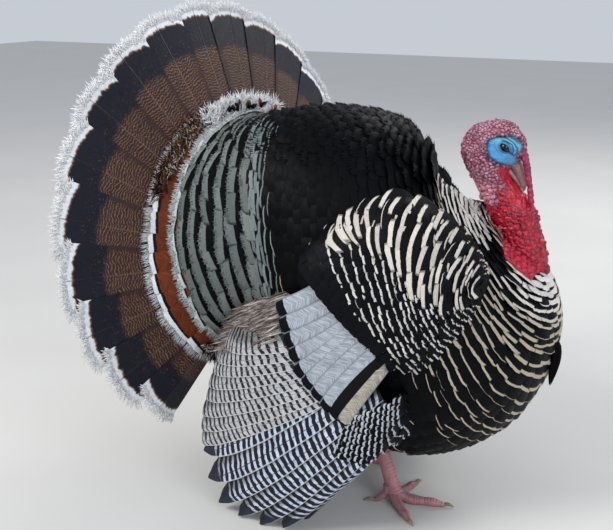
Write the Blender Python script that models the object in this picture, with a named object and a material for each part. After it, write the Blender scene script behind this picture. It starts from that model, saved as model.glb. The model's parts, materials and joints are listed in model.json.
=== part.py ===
"""Strutting tom turkey (Meleagris gallopavo, domestic black-and-white form), life size.

Metres, +Z up, +X towards the bird's breast, +Y its left.  Every solid is the outer
envelope of one named part, out to the feather tips.  The parts are lofts through a few
named stations; neighbours are parted by a 0.4 mm gap.
"""
import math

import bmesh
import bpy
import numpy as np
from mathutils import Matrix, Vector

# ---------------------------------------------------------------- driving dimensions
GAP = 0.0004            # clearance between touching parts
SHIFT = (0.07678, -0.00395, 0.0)  # moves the model so that the box's bottom centre is the origin

TAIL_BASE = (-0.240, 0.0, 0.378)   # where the quills meet
TAIL_R = 0.449                     # length of the central quills
TAIL_TAPER = 0.25                  # the outermost are this share shorter
TAIL_SPREAD = math.radians(120)    # scale of the taper and the cup
TAIL_FROM, TAIL_TO = math.radians(-127), math.radians(123)  # right and left ends
TAIL_TILT = math.radians(-11.3)
TAIL_YAW = math.radians(-6.3)
TAIL_ROLL = math.radians(-10.8)
TAIL_LEAN = math.radians(29.8)     # the middle quills lean back out of the fan's plane
TAIL_CUP = math.radians(-27.1)     # and the outermost by this much less
TAIL_FEATHERS = 18
COVERT_R, COVERT_DROP = 0.272, 0.062

HEAD_YAW = math.radians(12)
HEAD_AT = (0.150, 0.0)

FOOT_R = (0.0157, -0.0593, math.radians(15))   # x, y and heading of the front foot
FOOT_L = (-0.132, 0.0600, math.radians(-6))


# ---------------------------------------------------------------- small tools
def clear_scene():
    for obj in list(bpy.data.objects):
        bpy.data.objects.remove(obj, do_unlink=True)
    for coll in list(bpy.data.collections):
        bpy.data.collections.remove(coll)


def collection(name, hidden=False):
    coll = bpy.data.collections.new(name)
    bpy.context.scene.collection.children.link(coll)
    coll.hide_render = hidden
    return coll


def material(name, colour, roughness=0.7, metallic=0.0):
    mat = bpy.data.materials.get(name) or bpy.data.materials.new(name)
    mat.use_nodes = True
    bsdf = mat.node_tree.nodes["Principled BSDF"]
    bsdf.inputs["Base Color"].default_value = (*colour, 1.0)
    bsdf.inputs["Roughness"].default_value = roughness
    bsdf.inputs["Metallic"].default_value = metallic
    return mat


def smooth_through(rows, count):
    """Catmull-Rom curve through the rows of a table, sampled at count even steps."""
    rows = np.asarray(rows, float)
    padded = np.vstack([2 * rows[0] - rows[1], rows, 2 * rows[-1] - rows[-2]])
    out = []
    for q in np.linspace(0, len(rows) - 1, count):
        i = min(int(q), len(rows) - 2)
        t = q - i
        a, b, c, d = padded[i : i + 4]
        out.append(0.5 * (2 * b + (c - a) * t + (2 * a - 5 * b + 4 * c - d) * t * t + (3 * b - a - 3 * c + d) * t**3))
    return np.array(out)


def unit(v):
    return v / np.linalg.norm(v, axis=-1, keepdims=True)


def signed_volume(points, faces):
    total = 0.0
    for f in faces:
        for k in range(1, len(f) - 1):
            total += np.dot(points[f[0]], np.cross(points[f[k]], points[f[k + 1]]))
    return total / 6


def add_mesh(name, points, faces, mat, home):
    points = np.asarray(points, float)
    if signed_volume(points, faces) < 0:
        faces = [tuple(reversed(f)) for f in faces]
    # triangles, so that a bent quad is never split two ways
    faces = [(f[0], f[k], f[k + 1]) for f in faces for k in range(1, len(f) - 1)]
    mesh = bpy.data.meshes.new(name)
    mesh.from_pydata([tuple(p) for p in points], [], faces)
    mesh.materials.append(mat)
    mesh.shade_smooth()
    obj = bpy.data.objects.new(name, mesh)
    home.objects.link(obj)
    return obj


def loft(name, rings, mat, home):
    """Skin over closed rings of equal count, with a fan of triangles at each end."""
    rings = [np.asarray(r, float) for r in rings]
    n = len(rings[0])
    points = np.vstack(rings + [rings[0].mean(0)[None], rings[-1].mean(0)[None]])
    faces = []
    for k in range(len(rings) - 1):
        for i in range(n):
            j = (i + 1) % n
            faces.append((k * n + i, k * n + j, (k + 1) * n + j, (k + 1) * n + i))
    first, last = len(rings) * n, len(rings) * n + 1
    end = (len(rings) - 1) * n
    for i in range(n):
        j = (i + 1) % n
        faces.append((j, i, first))
        faces.append((end + i, end + j, last))
    return add_mesh(name, points, faces, mat, home)


def oval(centre, across, along, count=24, power=2.0, turn=0.0):
    """A closed ring round centre with half axes across and along, squarer as power grows."""
    t = (np.arange(count) + turn) * 2 * math.pi / count
    c, s = np.cos(t), np.sin(t)
    c = np.sign(c) * np.abs(c) ** (2 / power)
    s = np.sign(s) * np.abs(s) ** (2 / power)
    return np.asarray(centre) + c[:, None] * np.asarray(along) + s[:, None] * np.asarray(across)


def tube(name, path, radii, mat, home, count=12, flat=1.0, side=(0, 1, 0), turn=0.0):
    """Round bar along path; flat squeezes it at right angles to side."""
    path = np.asarray(path, float)
    tangent = unit(np.gradient(path, axis=0))
    rings = []
    for p, d, r in zip(path, tangent, radii):
        s = np.asarray(side, float)
        s = unit(s - d * np.dot(s, d))
        n = np.cross(d, s)
        rings.append(oval(p, s * r, n * r * flat, count, turn=turn))
    return loft(name, rings, mat, home)


def grown_copy(obj, by):
    """The object's mesh pushed out along its normals, for a clearance cut."""
    mesh = obj.data.copy()
    co = np.empty(len(mesh.vertices) * 3, np.float32)
    no = np.empty(len(mesh.vertices) * 3, np.float32)
    mesh.vertices.foreach_get("co", co)
    mesh.vertex_normals.foreach_get("vector", no)
    mesh.vertices.foreach_set("co", co + no * by)
    mesh.update()
    return mesh


def boolean(obj, mesh, operation, home):
    tool = bpy.data.objects.new("tool", mesh)
    tool.hide_render = True
    tool.display_type = "WIRE"
    home.objects.link(tool)
    mod = obj.modifiers.new("cut", "BOOLEAN")
    mod.operation = operation
    mod.solver = "MANIFOLD"
    mod.object = tool
    bpy.context.view_layer.update()
    done = bpy.data.meshes.new_from_object(obj.evaluated_get(bpy.context.evaluated_depsgraph_get()))
    obj.modifiers.remove(mod)
    obj.data = done
    bpy.data.objects.remove(tool, do_unlink=True)


def drop_crumbs(obj):
    """Keeps the biggest body and removes slivers that a cut left beside it."""
    bm = bmesh.new()
    bm.from_mesh(obj.data)
    unseen, bodies = set(bm.verts), []
    while unseen:
        stack, body = [unseen.pop()], []
        while stack:
            vert = stack.pop()
            body.append(vert)
            for edge in vert.link_edges:
                other = edge.other_vert(vert)
                if other in unseen:
                    unseen.remove(other)
                    stack.append(other)
        bodies.append(body)
    bodies.sort(key=len)
    for body in bodies[:-1]:
        bmesh.ops.delete(bm, geom=body, context="VERTS")
    bm.to_mesh(obj.data)
    bm.free()


def near(a, b):
    """Whether the two boxes come within the gap of each other."""
    boxes = []
    for obj in (a, b):
        co = np.array([v.co for v in obj.data.vertices])
        boxes.append((co.min(0) - GAP, co.max(0) + GAP))
    return bool((boxes[0][0] < boxes[1][1]).all() and (boxes[1][0] < boxes[0][1]).all())


def join(obj, others, home):
    for other in others:
        boolean(obj, other.data.copy(), "UNION", home)
        bpy.data.objects.remove(other, do_unlink=True)


# ---------------------------------------------------------------- trunk
# Each station is one row of feathers round the body, from the collar to the tail:
# back edge x, z; belly edge x, z; half width; squareness; how far its back narrows.
TRUNK = [
    # upper x, z      lower x, z      half width  power  narrowing of the upper side
    (0.128, 0.510, 0.228, 0.420, 0.040, 2.0, 0.10),
    (0.108, 0.519, 0.2455, 0.386, 0.078, 2.05, 0.36),
    (0.084, 0.532, 0.2555, 0.345, 0.112, 2.1, 0.50),
    (0.058, 0.550, 0.2565, 0.300, 0.142, 2.1, 0.56),
    (0.036, 0.592, 0.240, 0.235, 0.166, 2.15, 0.50),
    (0.000, 0.620, 0.198, 0.165, 0.182, 2.2, 0.34),
    (-0.052, 0.638, 0.128, 0.110, 0.188, 2.25, 0.18),
    (-0.108, 0.645, 0.040, 0.082, 0.185, 2.25, 0.08),
    (-0.162, 0.642, -0.050, 0.100, 0.173, 2.2, 0.0),
    (-0.208, 0.634, -0.122, 0.158, 0.156, 2.15, 0.0),
    (-0.245, 0.628, -0.172, 0.222, 0.146, 2.1, 0.0),
]


def trunk_ring(row, count):
    ux, uz, lx, lz, w, power, narrow = row
    up, low = np.array([ux, 0, uz]), np.array([lx, 0, lz])
    ring = oval((up + low) / 2, (0, w, 0), (up - low) / 2, count, power)
    turn = np.cos(np.linspace(0, 2 * math.pi, count, endpoint=False))
    ring[:, 1] *= 1 - narrow * ((1 + turn) / 2) ** 2
    return ring


def make_trunk(mat, home):
    table = smooth_through(TRUNK, 16)
    return loft("trunk", [trunk_ring(row, 24) for row in table], mat, home)


# ---------------------------------------------------------------- tail
def tail_axes():
    forward = np.array([math.cos(TAIL_YAW), math.sin(TAIL_YAW), 0])
    left = np.array([-math.sin(TAIL_YAW), math.cos(TAIL_YAW), 0])
    z = np.array([0, 0, 1.0])
    up = math.cos(TAIL_TILT) * z - math.sin(TAIL_TILT) * forward
    normal = math.cos(TAIL_TILT) * forward + math.sin(TAIL_TILT) * z
    u = math.cos(TAIL_ROLL) * up + math.sin(TAIL_ROLL) * left
    v = -math.sin(TAIL_ROLL) * up + math.cos(TAIL_ROLL) * left
    return u, v, normal


def tail_point(r, phi, off=0.0):
    """Point on the fan at radius r and angle phi (0 is the middle quill), off in front of it."""
    u, v, normal = tail_axes()
    lean = TAIL_LEAN + TAIL_CUP * min(1.0, abs(phi / TAIL_SPREAD)) ** 2
    ray = math.cos(phi) * u + math.sin(phi) * v
    return np.array(TAIL_BASE) + r * (math.cos(lean) * ray - math.sin(lean) * normal) + off * (
        math.sin(lean) * ray + math.cos(lean) * normal
    )


def tail_length(phi):
    return TAIL_R * (1 - TAIL_TAPER * (phi / TAIL_SPREAD) ** 2)


def make_fan(mat, home):
    per = 3
    steps = TAIL_FEATHERS * per
    radii = [0.0, 0.46, 0.93, 1.0]
    front, back = [], []
    for i in range(steps + 1):
        phi = TAIL_FROM + (TAIL_TO - TAIL_FROM) * i / steps
        f = (i % per) / per if i < steps else 0.0
        tip = 0.970 if f == 0 else 1.0
        length = tail_length(phi) * tip
        front.append([tail_point(0.04 + (length - 0.04) * q, phi, 0.0020 * (1 - q) + 0.0009) for q in radii])
        back.append([tail_point(0.04 + (length - 0.04) * q, phi, -0.0020 * (1 - q) - 0.0009) for q in radii])
    front, back = np.array(front), np.array(back)
    rings = [np.vstack([front[i], back[i][::-1]]) for i in range(steps + 1)]
    return loft("tail_fan", rings, mat, home)


def covert_length(phi):
    return COVERT_R - COVERT_DROP * (abs(phi) / TAIL_SPREAD) ** 2


def make_coverts(mat, home):
    """The feathers of the rump that flare from the trunk's end out over the fan."""
    count = 24
    end = np.array(TRUNK[-1], float) - np.array([2 * GAP, 0, 2 * GAP, 0, 0, 0, 0])
    start = trunk_ring(end, count)
    angles = np.linspace(0, 2 * math.pi, count, endpoint=False)
    rings = []
    phis = [a if a <= math.pi else a - 2 * math.pi for a in angles]
    rim = np.array([tail_point(covert_length(p), p, 0.0085) for p in phis])
    u, v, _ = tail_axes()
    out = start - np.array(TAIL_BASE)
    reach = np.hypot(out @ u, out @ v)
    knee = np.array([tail_point(0.46 * (r + covert_length(p)), p, 0.034) for r, p in zip(reach, phis)])
    for t in np.linspace(0, 1, 6):
        rings.append((1 - t) ** 2 * start + 2 * t * (1 - t) * knee + t * t * rim)
    for share in (1.0, 0.6, 0.2):
        rings.append(np.array([tail_point(covert_length(p) * share, p, 0.0056) for p in phis]))
    return loft("tail_coverts", rings, mat, home)


# share of the reach, depth behind the fan
UNDERTAIL = [(0.12, 0.0054), (0.94, 0.0054), (1.0, 0.020), (0.92, 0.042), (0.70, 0.062), (0.40, 0.074), (0.12, 0.078)]


def make_undertail(mat, home):
    """The full, soft feathers behind and below the tail's root."""
    rings = []
    phis = np.linspace(0, 2 * math.pi, 18, endpoint=False)
    phis = [a if a <= math.pi else a - 2 * math.pi for a in phis]
    for share, depth in UNDERTAIL:
        reach = [0.118 + 0.070 * (abs(p) / math.pi) ** 2 for p in phis]
        rings.append(np.array([tail_point(r * share, p, -depth) for r, p in zip(reach, phis)]))
    return loft("undertail_coverts", rings, mat, home)


# ---------------------------------------------------------------- wings (right one; the left is its mirror)
WING_ROOT = [(-0.096, -0.194, 0.412), (-0.046, -0.203, 0.352), (0.016, -0.207, 0.300), (0.056, -0.206, 0.252), (0.066, -0.198, 0.205), (0.050, -0.192, 0.150)]
WING_TIP = [
    (-0.222, -0.190, 0.300),
    (-0.248, -0.197, 0.238),
    (-0.262, -0.203, 0.180),
    (-0.266, -0.208, 0.120),
    (-0.254, -0.214, 0.060),
    (-0.226, -0.222, 0.012),
    (-0.176, -0.228, 0.0),
    (-0.124, -0.229, 0.0),
    (-0.072, -0.222, 0.018),
    (-0.010, -0.208, 0.084),
]
WING_FEATHERS = 19


def wing_point(u, v):
    root = smooth_at(WING_ROOT, u)
    tip = smooth_at(WING_TIP, u)
    p = root + (tip - root) * v
    p[1] -= 0.016 * math.sin(math.pi * min(v, 1.0)) * (1 - 0.5 * u)
    return p


def smooth_at(rows, u):
    rows = np.asarray(rows, float)
    padded = np.vstack([2 * rows[0] - rows[1], rows, 2 * rows[-1] - rows[-2]])
    q = u * (len(rows) - 1)
    i = min(int(q), len(rows) - 2)
    t = q - i
    a, b, c, d = padded[i : i + 4]
    return 0.5 * (2 * b + (c - a) * t + (2 * a - 5 * b + 4 * c - d) * t * t + (3 * b - a - 3 * c + d) * t**3)


def wing_sheet(name, first, last, mat, home, side):
    """Quill feathers first..last as one shingled blade, thick at the wrist and thin at the tips."""
    per = 2
    lo, hi = first / WING_FEATHERS, last / WING_FEATHERS
    steps = (last - first) * per
    vs = [-0.08, 0.45, 0.95, 1.0]
    outer, inner = [], []
    for i in range(steps + 1):
        f = (i % per) / per if i < steps else 0.0
        u = lo + (hi - lo) * i / steps
        reach = 0.965 if f == 0 else 1.0
        row_o, row_i = [], []
        for v in vs:
            p = wing_point(u, v * reach)
            half = 0.0060 * (1 - v) ** 1.3 + 0.0008 if v < 1 else 0.0008
            row_o.append(p + np.array([0, -half, 0]))
            row_i.append(p + np.array([0, half, 0]))
        outer.append(row_o)
        inner.append(row_i)
    rings = [np.vstack([o, np.array(n)[::-1]]) for o, n in zip(np.array(outer), np.array(inner))]
    rings = [r * np.array([1, side, 1]) for r in rings]
    for r in rings:
        r[:, 2] = np.maximum(r[:, 2], 0.0)
    return loft(name, rings, mat, home)


# x, top z, bottom z, bulge
SHOULDER = [
    (-0.106, 0.434, 0.404, 0.026),
    (-0.092, 0.456, 0.380, 0.045),
    (-0.064, 0.489, 0.352, 0.058),
    (-0.026, 0.519, 0.320, 0.067),
    (0.018, 0.539, 0.288, 0.072),
    (0.058, 0.544, 0.274, 0.074),
    (0.096, 0.536, 0.284, 0.072),
    (0.130, 0.518, 0.320, 0.066),
    (0.158, 0.492, 0.364, 0.055),
    (0.176, 0.463, 0.400, 0.041),
    (0.182, 0.443, 0.422, 0.027),
]


def make_shoulder(name, mat, home, side):
    """Scapulars and small coverts: a full lobe over the side of the trunk."""
    rings = []
    for x, top, low, bulge in smooth_through(SHOULDER, 11):
        ring = oval((x, -0.148, (top + low) / 2), (0, -bulge, 0), (0, 0, (top - low) / 2), 14, 2.1)
        rings.append(ring * np.array([1, side, 1]))
    return loft(name, rings, mat, home)


# ---------------------------------------------------------------- neck and head
# back x, z; front x, z; half width, in the head's own plane
NECK = [
    (0.026, 0.396, 0.066, 0.380, 0.022),
    (0.020, 0.434, 0.080, 0.416, 0.027),
    (0.006, 0.470, 0.073, 0.456, 0.0275),
    (-0.010, 0.503, 0.062, 0.490, 0.028),
    (-0.026, 0.535, 0.046, 0.520, 0.029),
    (-0.043, 0.563, 0.026, 0.548, 0.031),
    (-0.056, 0.589, 0.018, 0.566, 0.033),
    (-0.054, 0.613, 0.030, 0.583, 0.034),
    (-0.039, 0.632, 0.038, 0.601, 0.032),
    (-0.014, 0.6405, 0.034, 0.618, 0.025),
    (0.006, 0.6395, 0.022, 0.632, 0.012),
]


def head_frame(p, q, z):
    """From the head's own plane (p forward, q to its left) to the model."""
    c, s = math.cos(HEAD_YAW), math.sin(HEAD_YAW)
    return np.array([HEAD_AT[0] + p * c - q * s, HEAD_AT[1] + p * s + q * c, z])


def neck_ring(row, count=14):
    bx, bz, fx, fz, w = row
    ring = oval(((bx + fx) / 2, 0, (bz + fz) / 2), (0, w, 0), ((fx - bx) / 2, 0, (fz - bz) / 2), count, 2.1)
    return np.array([head_frame(*p) for p in ring])


def make_neck_and_head(skin, home):
    table = smooth_through(NECK, 23)
    parted = 13
    neck = loft("neck", [neck_ring(r) for r in table[: parted + 1]], skin, home)
    above = table[parted:].copy()
    above[0] = above[0] + (above[1] - above[0]) * 0.12
    head = loft("head", [neck_ring(r) for r in above], skin, home)
    return neck, head


def head_path(rows):
    return [head_frame(*r) for r in rows]


def make_bill(mat, home):
    upper = smooth_through([(0.012, 0, 0.588), (0.026, 0, 0.576), (0.036, 0, 0.560), (0.041, 0, 0.546), (0.0415, 0, 0.5355)], 7)
    side = head_frame(0, 1, 0) - head_frame(0, 0, 0)
    top = tube("bill_upper", head_path(upper), [0.0098, 0.0094, 0.0088, 0.0078, 0.0062, 0.0042, 0.0014], mat, home, 10, 0.85, side)
    lower = smooth_through([(0.004, 0, 0.572), (0.018, 0, 0.560), (0.028, 0, 0.549), (0.0355, 0, 0.5405)], 5)
    low = tube("bill_lower", head_path(lower), [0.0074, 0.0070, 0.0060, 0.0044, 0.0018], mat, home, 8, 0.5, side)
    return top, low


def make_snood(mat, home):
    path = smooth_through(
        [(0.026, 0.000, 0.606), (0.040, -0.004, 0.600), (0.049, -0.012, 0.584), (0.0525, -0.0165, 0.560), (0.054, -0.018, 0.530), (0.056, -0.018, 0.503), (0.0575, -0.017, 0.482)], 10
    )
    radii = [0.0062, 0.0067, 0.0067, 0.0064, 0.0061, 0.0058, 0.0056, 0.0053, 0.0046, 0.0024]
    return tube("snood", head_path(path), radii, mat, home, 9)


def make_eye(name, side, mat, home):
    bpy.ops.mesh.primitive_uv_sphere_add(segments=10, ring_count=6, radius=0.0085, location=tuple(head_frame(0.0065, side * 0.0255, 0.6025)))
    eye = bpy.context.object
    eye.name = name
    eye.data.materials.append(mat)
    eye.data.transform(eye.matrix_world)
    eye.matrix_world = Matrix.Identity(4)
    for c in list(eye.users_collection):
        c.objects.unlink(eye)
    home.objects.link(eye)
    return eye


# ---------------------------------------------------------------- legs
TOES = {"inner": (0.070, 60, 0.0074), "middle": (0.086, 0, 0.0084), "outer": (0.073, -64, 0.0074), "hind": (0.033, 168, 0.0062)}
CLAW = 0.016


def flatten(obj, level=0.0):
    """Small flats where the part meets the ground."""
    for v in obj.data.vertices:
        v.co.z = max(v.co.z, level)


def make_leg(tag, foot, hock, side, skin, horn, home):
    fx, fy, heading = foot
    joint = np.array([fx, fy, 0.024])
    shank_path = smooth_through([hock, hock * 0.5 + joint * 0.5 + np.array([0.002, 0, 0]), joint + np.array([0.0, 0, 0.002]), joint + np.array([0.004, 0, -0.010])], 6)
    shank = tube(f"shank_{tag}", shank_path, [0.0105, 0.0098, 0.0093, 0.0098, 0.0116, 0.0098], skin, home, 10, 1.25)
    toes, claws = [], []
    for name, (length, angle, r) in TOES.items():
        a = heading + math.radians(angle) * side
        d = np.array([math.cos(a), math.sin(a), 0])
        cross = np.cross(d, [0, 0, 1.0])
        # each toe's underside is an edge of its ring, a little below the ground and then laid on it
        under = 0.92 * math.cos(math.pi / 8)
        start = joint + (np.array([-0.004, 0.004 * side, 0.006]) if name == "hind" else np.array([0, 0, -0.010]))
        rows = [(*(start + d * 0.004), r * 1.30)]
        for share, swell in ((0.42, 1.05), (0.78, 0.92), (1.0, 0.56)):
            p = np.array([fx, fy, 0]) + d * length * share
            lift = 0.0085 if name == "hind" and share < 0.5 else -0.0006
            rows.append((p[0], p[1], r * swell * under + lift, r * swell))
        rows = smooth_through(rows, 5)
        path, radii, end = rows[:, :3], rows[:, 3], rows[-1, :3]
        toe = tube(f"toe_{name}_{tag}", path, radii, skin, home, 8, 0.92, cross, 0.5)
        flatten(toe)
        toes.append(toe)
        tip = end + d * CLAW + np.array([0, 0, -0.0018])
        bend = end + d * CLAW * 0.5 + np.array([0, 0, 0.0022])
        cpath = smooth_through([end + d * 0.0007 + np.array([0, 0, 0.0003]), bend, tip], 4)
        claw = tube(f"claw_{name}_{tag}", cpath, [0.0037, 0.0034, 0.0023, 0.0007], horn, home, 6, 0.8, cross)
        flatten(claw)
        claws.append(claw)
    foot_obj = toes[0]
    foot_obj.name = f"foot_{tag}"
    join(foot_obj, toes[1:], home)
    boolean(foot_obj, shank.data.copy(), "UNION", home)
    bpy.data.objects.remove(shank, do_unlink=True)
    foot_obj.name = f"leg_{tag}"
    spur_at = hock * 0.38 + joint * 0.62
    back = np.array([-math.cos(heading), -math.sin(heading), 0])
    way = unit(back + np.array([0, 0, 0.10]))
    spath = smooth_through([spur_at + way * 0.006, spur_at + way * 0.016, spur_at + way * 0.025 + np.array([0, 0, 0.003])], 4)
    spur = tube(f"spur_{tag}", spath, [0.0050, 0.0044, 0.0028, 0.0008], horn, home, 6)
    return foot_obj, claws, spur


def make_thigh(tag, hock, top, mat, home):
    path = smooth_through([top, top * 0.5 + hock * 0.5, hock * 0.85 + top * 0.15, hock + (hock - top) * 0.02], 6)
    radii = [0.058, 0.053, 0.043, 0.033, 0.024, 0.017]
    return tube(f"thigh_{tag}", path, radii, mat, home, 12)


def make_beard(mat, home):
    path = smooth_through([(0.238, 0, 0.318), (0.2555, 0, 0.306), (0.257, 0, 0.283), (0.254, 0, 0.262), (0.251, 0, 0.238)], 8)
    radii = [0.0060, 0.0078, 0.0098, 0.0108, 0.0112, 0.0106, 0.0080, 0.0024]
    return tube("beard", path, radii, mat, home, 8, 0.72)


# ---------------------------------------------------------------- the bird
def main():
    clear_scene()
    bird = collection("turkey")
    tools = collection("cutters", hidden=True)

    feather = material("body_feather", (0.035, 0.034, 0.036), 0.55)
    flight = material("flight_feather", (0.42, 0.43, 0.45), 0.6)
    tail_mat = material("tail_feather", (0.11, 0.06, 0.035), 0.6)
    skin = material("bare_skin", (0.56, 0.05, 0.06), 0.5)
    horn = material("horn", (0.45, 0.30, 0.22), 0.45)
    leg_skin = material("leg_skin", (0.52, 0.33, 0.33), 0.6)
    eye_mat = material("eye", (0.02, 0.012, 0.01), 0.1)
    hair = material("beard_hair", (0.015, 0.014, 0.015), 0.5)

    trunk = make_trunk(feather, bird)
    fan = make_fan(tail_mat, bird)
    coverts = make_coverts(feather, bird)
    under = make_undertail(feather, bird)
    neck, head = make_neck_and_head(skin, bird)
    bill_up, bill_low = make_bill(horn, bird)
    snood = make_snood(skin, bird)
    eyes = [make_eye("eye_R", -1, eye_mat, bird), make_eye("eye_L", 1, eye_mat, bird)]
    beard = make_beard(hair, bird)

    wings = []
    for tag, side in (("R", 1), ("L", -1)):
        shoulder = make_shoulder(f"wing_{tag}_shoulder", feather, bird, side)
        arm = wing_sheet(f"wing_{tag}_secondaries", 0, 10, flight, bird, side)
        hand = wing_sheet(f"wing_{tag}_primaries", 10, 19, flight, bird, side)
        wings.append((shoulder, arm, hand))

    legs = []
    for tag, foot, side in (("R", FOOT_R, -1), ("L", FOOT_L, 1)):
        hock = np.array([foot[0] - 0.044, foot[1] * 1.04, 0.150])
        top = np.array([hock[0] * 0.75 + 0.040, foot[1] * 1.35, 0.245])
        leg, claws, spur = make_leg(tag, foot, hock, side, leg_skin, horn, bird)
        thigh = make_thigh(tag, hock + np.array([0.006, 0, -0.018]), top, feather, bird)
        legs.append((leg, claws, spur, thigh))

    # neighbours are parted, each cut by those before it, so that the finer piece stays whole
    whole_first = [*eyes, head, neck, bill_up, bill_low, snood, beard, fan]
    for part in range(3):
        whole_first += [wing[part] for wing in wings]
    whole_first += [leg for leg, _, _, _ in legs]
    for _, claws, spur, _ in legs:
        whole_first += [*claws, spur]
    whole_first += [thigh for _, _, _, thigh in legs] + [coverts, under, trunk]
    for i, obj in enumerate(whole_first):
        for other in whole_first[:i]:
            if near(obj, other):
                boolean(obj, grown_copy(other, GAP), "DIFFERENCE", tools)
        drop_crumbs(obj)
    for obj in bird.objects:
        middle = sum((Vector(corner) for corner in obj.bound_box), Vector()) / 8
        obj.data.transform(Matrix.Translation(-middle))
        obj.location = middle + Vector(SHIFT)
    bpy.context.view_layer.update()


main()
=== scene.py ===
"""Looks of a life-size, still model of a strutting domestic tom turkey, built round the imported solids."""
import json
import math

import bpy
import numpy as np
from mathutils import Matrix, Vector
from mathutils.bvhtree import BVHTree
from mathutils.kdtree import KDTree

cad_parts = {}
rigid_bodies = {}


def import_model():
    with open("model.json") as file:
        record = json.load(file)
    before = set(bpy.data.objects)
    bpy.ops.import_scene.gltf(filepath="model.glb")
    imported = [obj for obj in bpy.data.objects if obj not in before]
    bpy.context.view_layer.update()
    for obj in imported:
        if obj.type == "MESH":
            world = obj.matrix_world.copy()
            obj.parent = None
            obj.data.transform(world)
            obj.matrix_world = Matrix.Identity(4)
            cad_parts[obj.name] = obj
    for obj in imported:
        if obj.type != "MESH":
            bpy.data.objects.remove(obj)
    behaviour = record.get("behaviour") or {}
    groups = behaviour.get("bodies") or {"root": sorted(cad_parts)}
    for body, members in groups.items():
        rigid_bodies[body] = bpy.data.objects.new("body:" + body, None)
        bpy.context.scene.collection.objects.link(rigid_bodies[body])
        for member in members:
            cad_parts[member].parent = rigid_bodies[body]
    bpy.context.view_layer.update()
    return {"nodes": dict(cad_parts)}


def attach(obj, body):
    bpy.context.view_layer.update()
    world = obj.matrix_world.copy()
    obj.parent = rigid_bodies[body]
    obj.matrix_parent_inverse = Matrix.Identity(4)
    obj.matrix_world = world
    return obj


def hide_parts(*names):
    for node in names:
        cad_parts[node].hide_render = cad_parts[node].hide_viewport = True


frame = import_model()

SHIFT = np.array((0.07678, -0.00395, 0.0))   # from the bird's own axes to the frame's
PI = math.pi


# ================================================================ the bird's shape, as in the solids
TAIL_BASE = np.array((-0.240, 0.0, 0.378))
TAIL_R, TAIL_TAPER, TAIL_SPREAD = 0.449, 0.25, math.radians(120)
TAIL_FROM, TAIL_TO = math.radians(-127), math.radians(123)
TAIL_TILT, TAIL_YAW, TAIL_ROLL = math.radians(-11.3), math.radians(-6.3), math.radians(-10.8)
TAIL_LEAN, TAIL_CUP, TAIL_FEATHERS = math.radians(29.8), math.radians(-27.1), 18
COVERT_R, COVERT_DROP = 0.272, 0.062
HEAD_YAW, HEAD_AT = math.radians(12), (0.150, 0.0)
FOOT_R, FOOT_L = (0.0157, -0.0593, math.radians(15)), (-0.132, 0.0600, math.radians(-6))

# one row of feathers round the body per station: upper x, z; lower x, z; half width; squareness; narrowing of the back
TRUNK = np.array([
    (0.158, 0.484, 0.214, 0.440, 0.029, 2.0, 0.0),
    (0.128, 0.510, 0.228, 0.420, 0.040, 2.0, 0.10), (0.108, 0.519, 0.2455, 0.386, 0.078, 2.05, 0.36),
    (0.084, 0.532, 0.2555, 0.345, 0.112, 2.1, 0.50), (0.058, 0.550, 0.2565, 0.300, 0.142, 2.1, 0.56),
    (0.036, 0.592, 0.240, 0.235, 0.166, 2.15, 0.50), (0.000, 0.620, 0.198, 0.165, 0.182, 2.2, 0.34),
    (-0.052, 0.638, 0.128, 0.110, 0.188, 2.25, 0.18), (-0.108, 0.645, 0.040, 0.082, 0.185, 2.25, 0.08),
    (-0.162, 0.642, -0.050, 0.100, 0.173, 2.2, 0.0), (-0.208, 0.634, -0.122, 0.158, 0.156, 2.15, 0.0),
    (-0.245, 0.628, -0.172, 0.222, 0.146, 2.1, 0.0)])
UNDERTAIL = [(0.12, 0.0054), (0.94, 0.0054), (1.0, 0.020), (0.92, 0.042), (0.70, 0.062), (0.40, 0.074), (0.12, 0.078)]
WING_ROOT = [(-0.096, -0.194, 0.412), (-0.046, -0.203, 0.352), (0.016, -0.207, 0.300), (0.056, -0.206, 0.252), (0.066, -0.198, 0.205), (0.050, -0.192, 0.150)]
WING_TIP = [(-0.222, -0.190, 0.300), (-0.248, -0.197, 0.238), (-0.262, -0.203, 0.180), (-0.266, -0.208, 0.120), (-0.254, -0.214, 0.060),
            (-0.226, -0.222, 0.012), (-0.176, -0.228, 0.0), (-0.124, -0.229, 0.0), (-0.072, -0.222, 0.018), (-0.010, -0.208, 0.084)]
WING_FEATHERS = 19
SHOULDER = [(-0.106, .434, .404, .026), (-0.092, .456, .380, .045), (-0.064, .489, .352, .058), (-0.026, .519, .320, .067), (0.018, .539, .288, .072),
            (0.058, .544, .274, .074), (0.096, .536, .284, .072), (0.130, .518, .320, .066), (0.158, .492, .364, .055), (0.176, .463, .400, .041), (0.182, .443, .422, .027)]
NECK = [  # back x, z; front x, z; half width, in the head's own plane
    (0.026, 0.396, 0.066, 0.380, 0.022), (0.020, 0.434, 0.080, 0.416, 0.027), (0.006, 0.470, 0.073, 0.456, 0.0275),
    (-0.010, 0.503, 0.062, 0.490, 0.028), (-0.026, 0.535, 0.046, 0.520, 0.029), (-0.043, 0.563, 0.026, 0.548, 0.031),
    (-0.056, 0.589, 0.018, 0.566, 0.033), (-0.054, 0.613, 0.030, 0.583, 0.034), (-0.039, 0.632, 0.038, 0.601, 0.032),
    (-0.014, 0.6405, 0.034, 0.618, 0.025), (0.006, 0.6395, 0.022, 0.632, 0.012)]
EYE_P, EYE_Q, EYE_Z, EYE_R = 0.0095, 0.0255, 0.6055, 0.0085
TOES = {"inner": (0.070, 60, 0.0074), "middle": (0.086, 0, 0.0084), "outer": (0.073, -64, 0.0074), "hind": (0.033, 168, 0.0062)}
CLAW = 0.016


def unit(v):
    return v / np.maximum(np.linalg.norm(v, axis=-1, keepdims=True), 1e-12)


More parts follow.
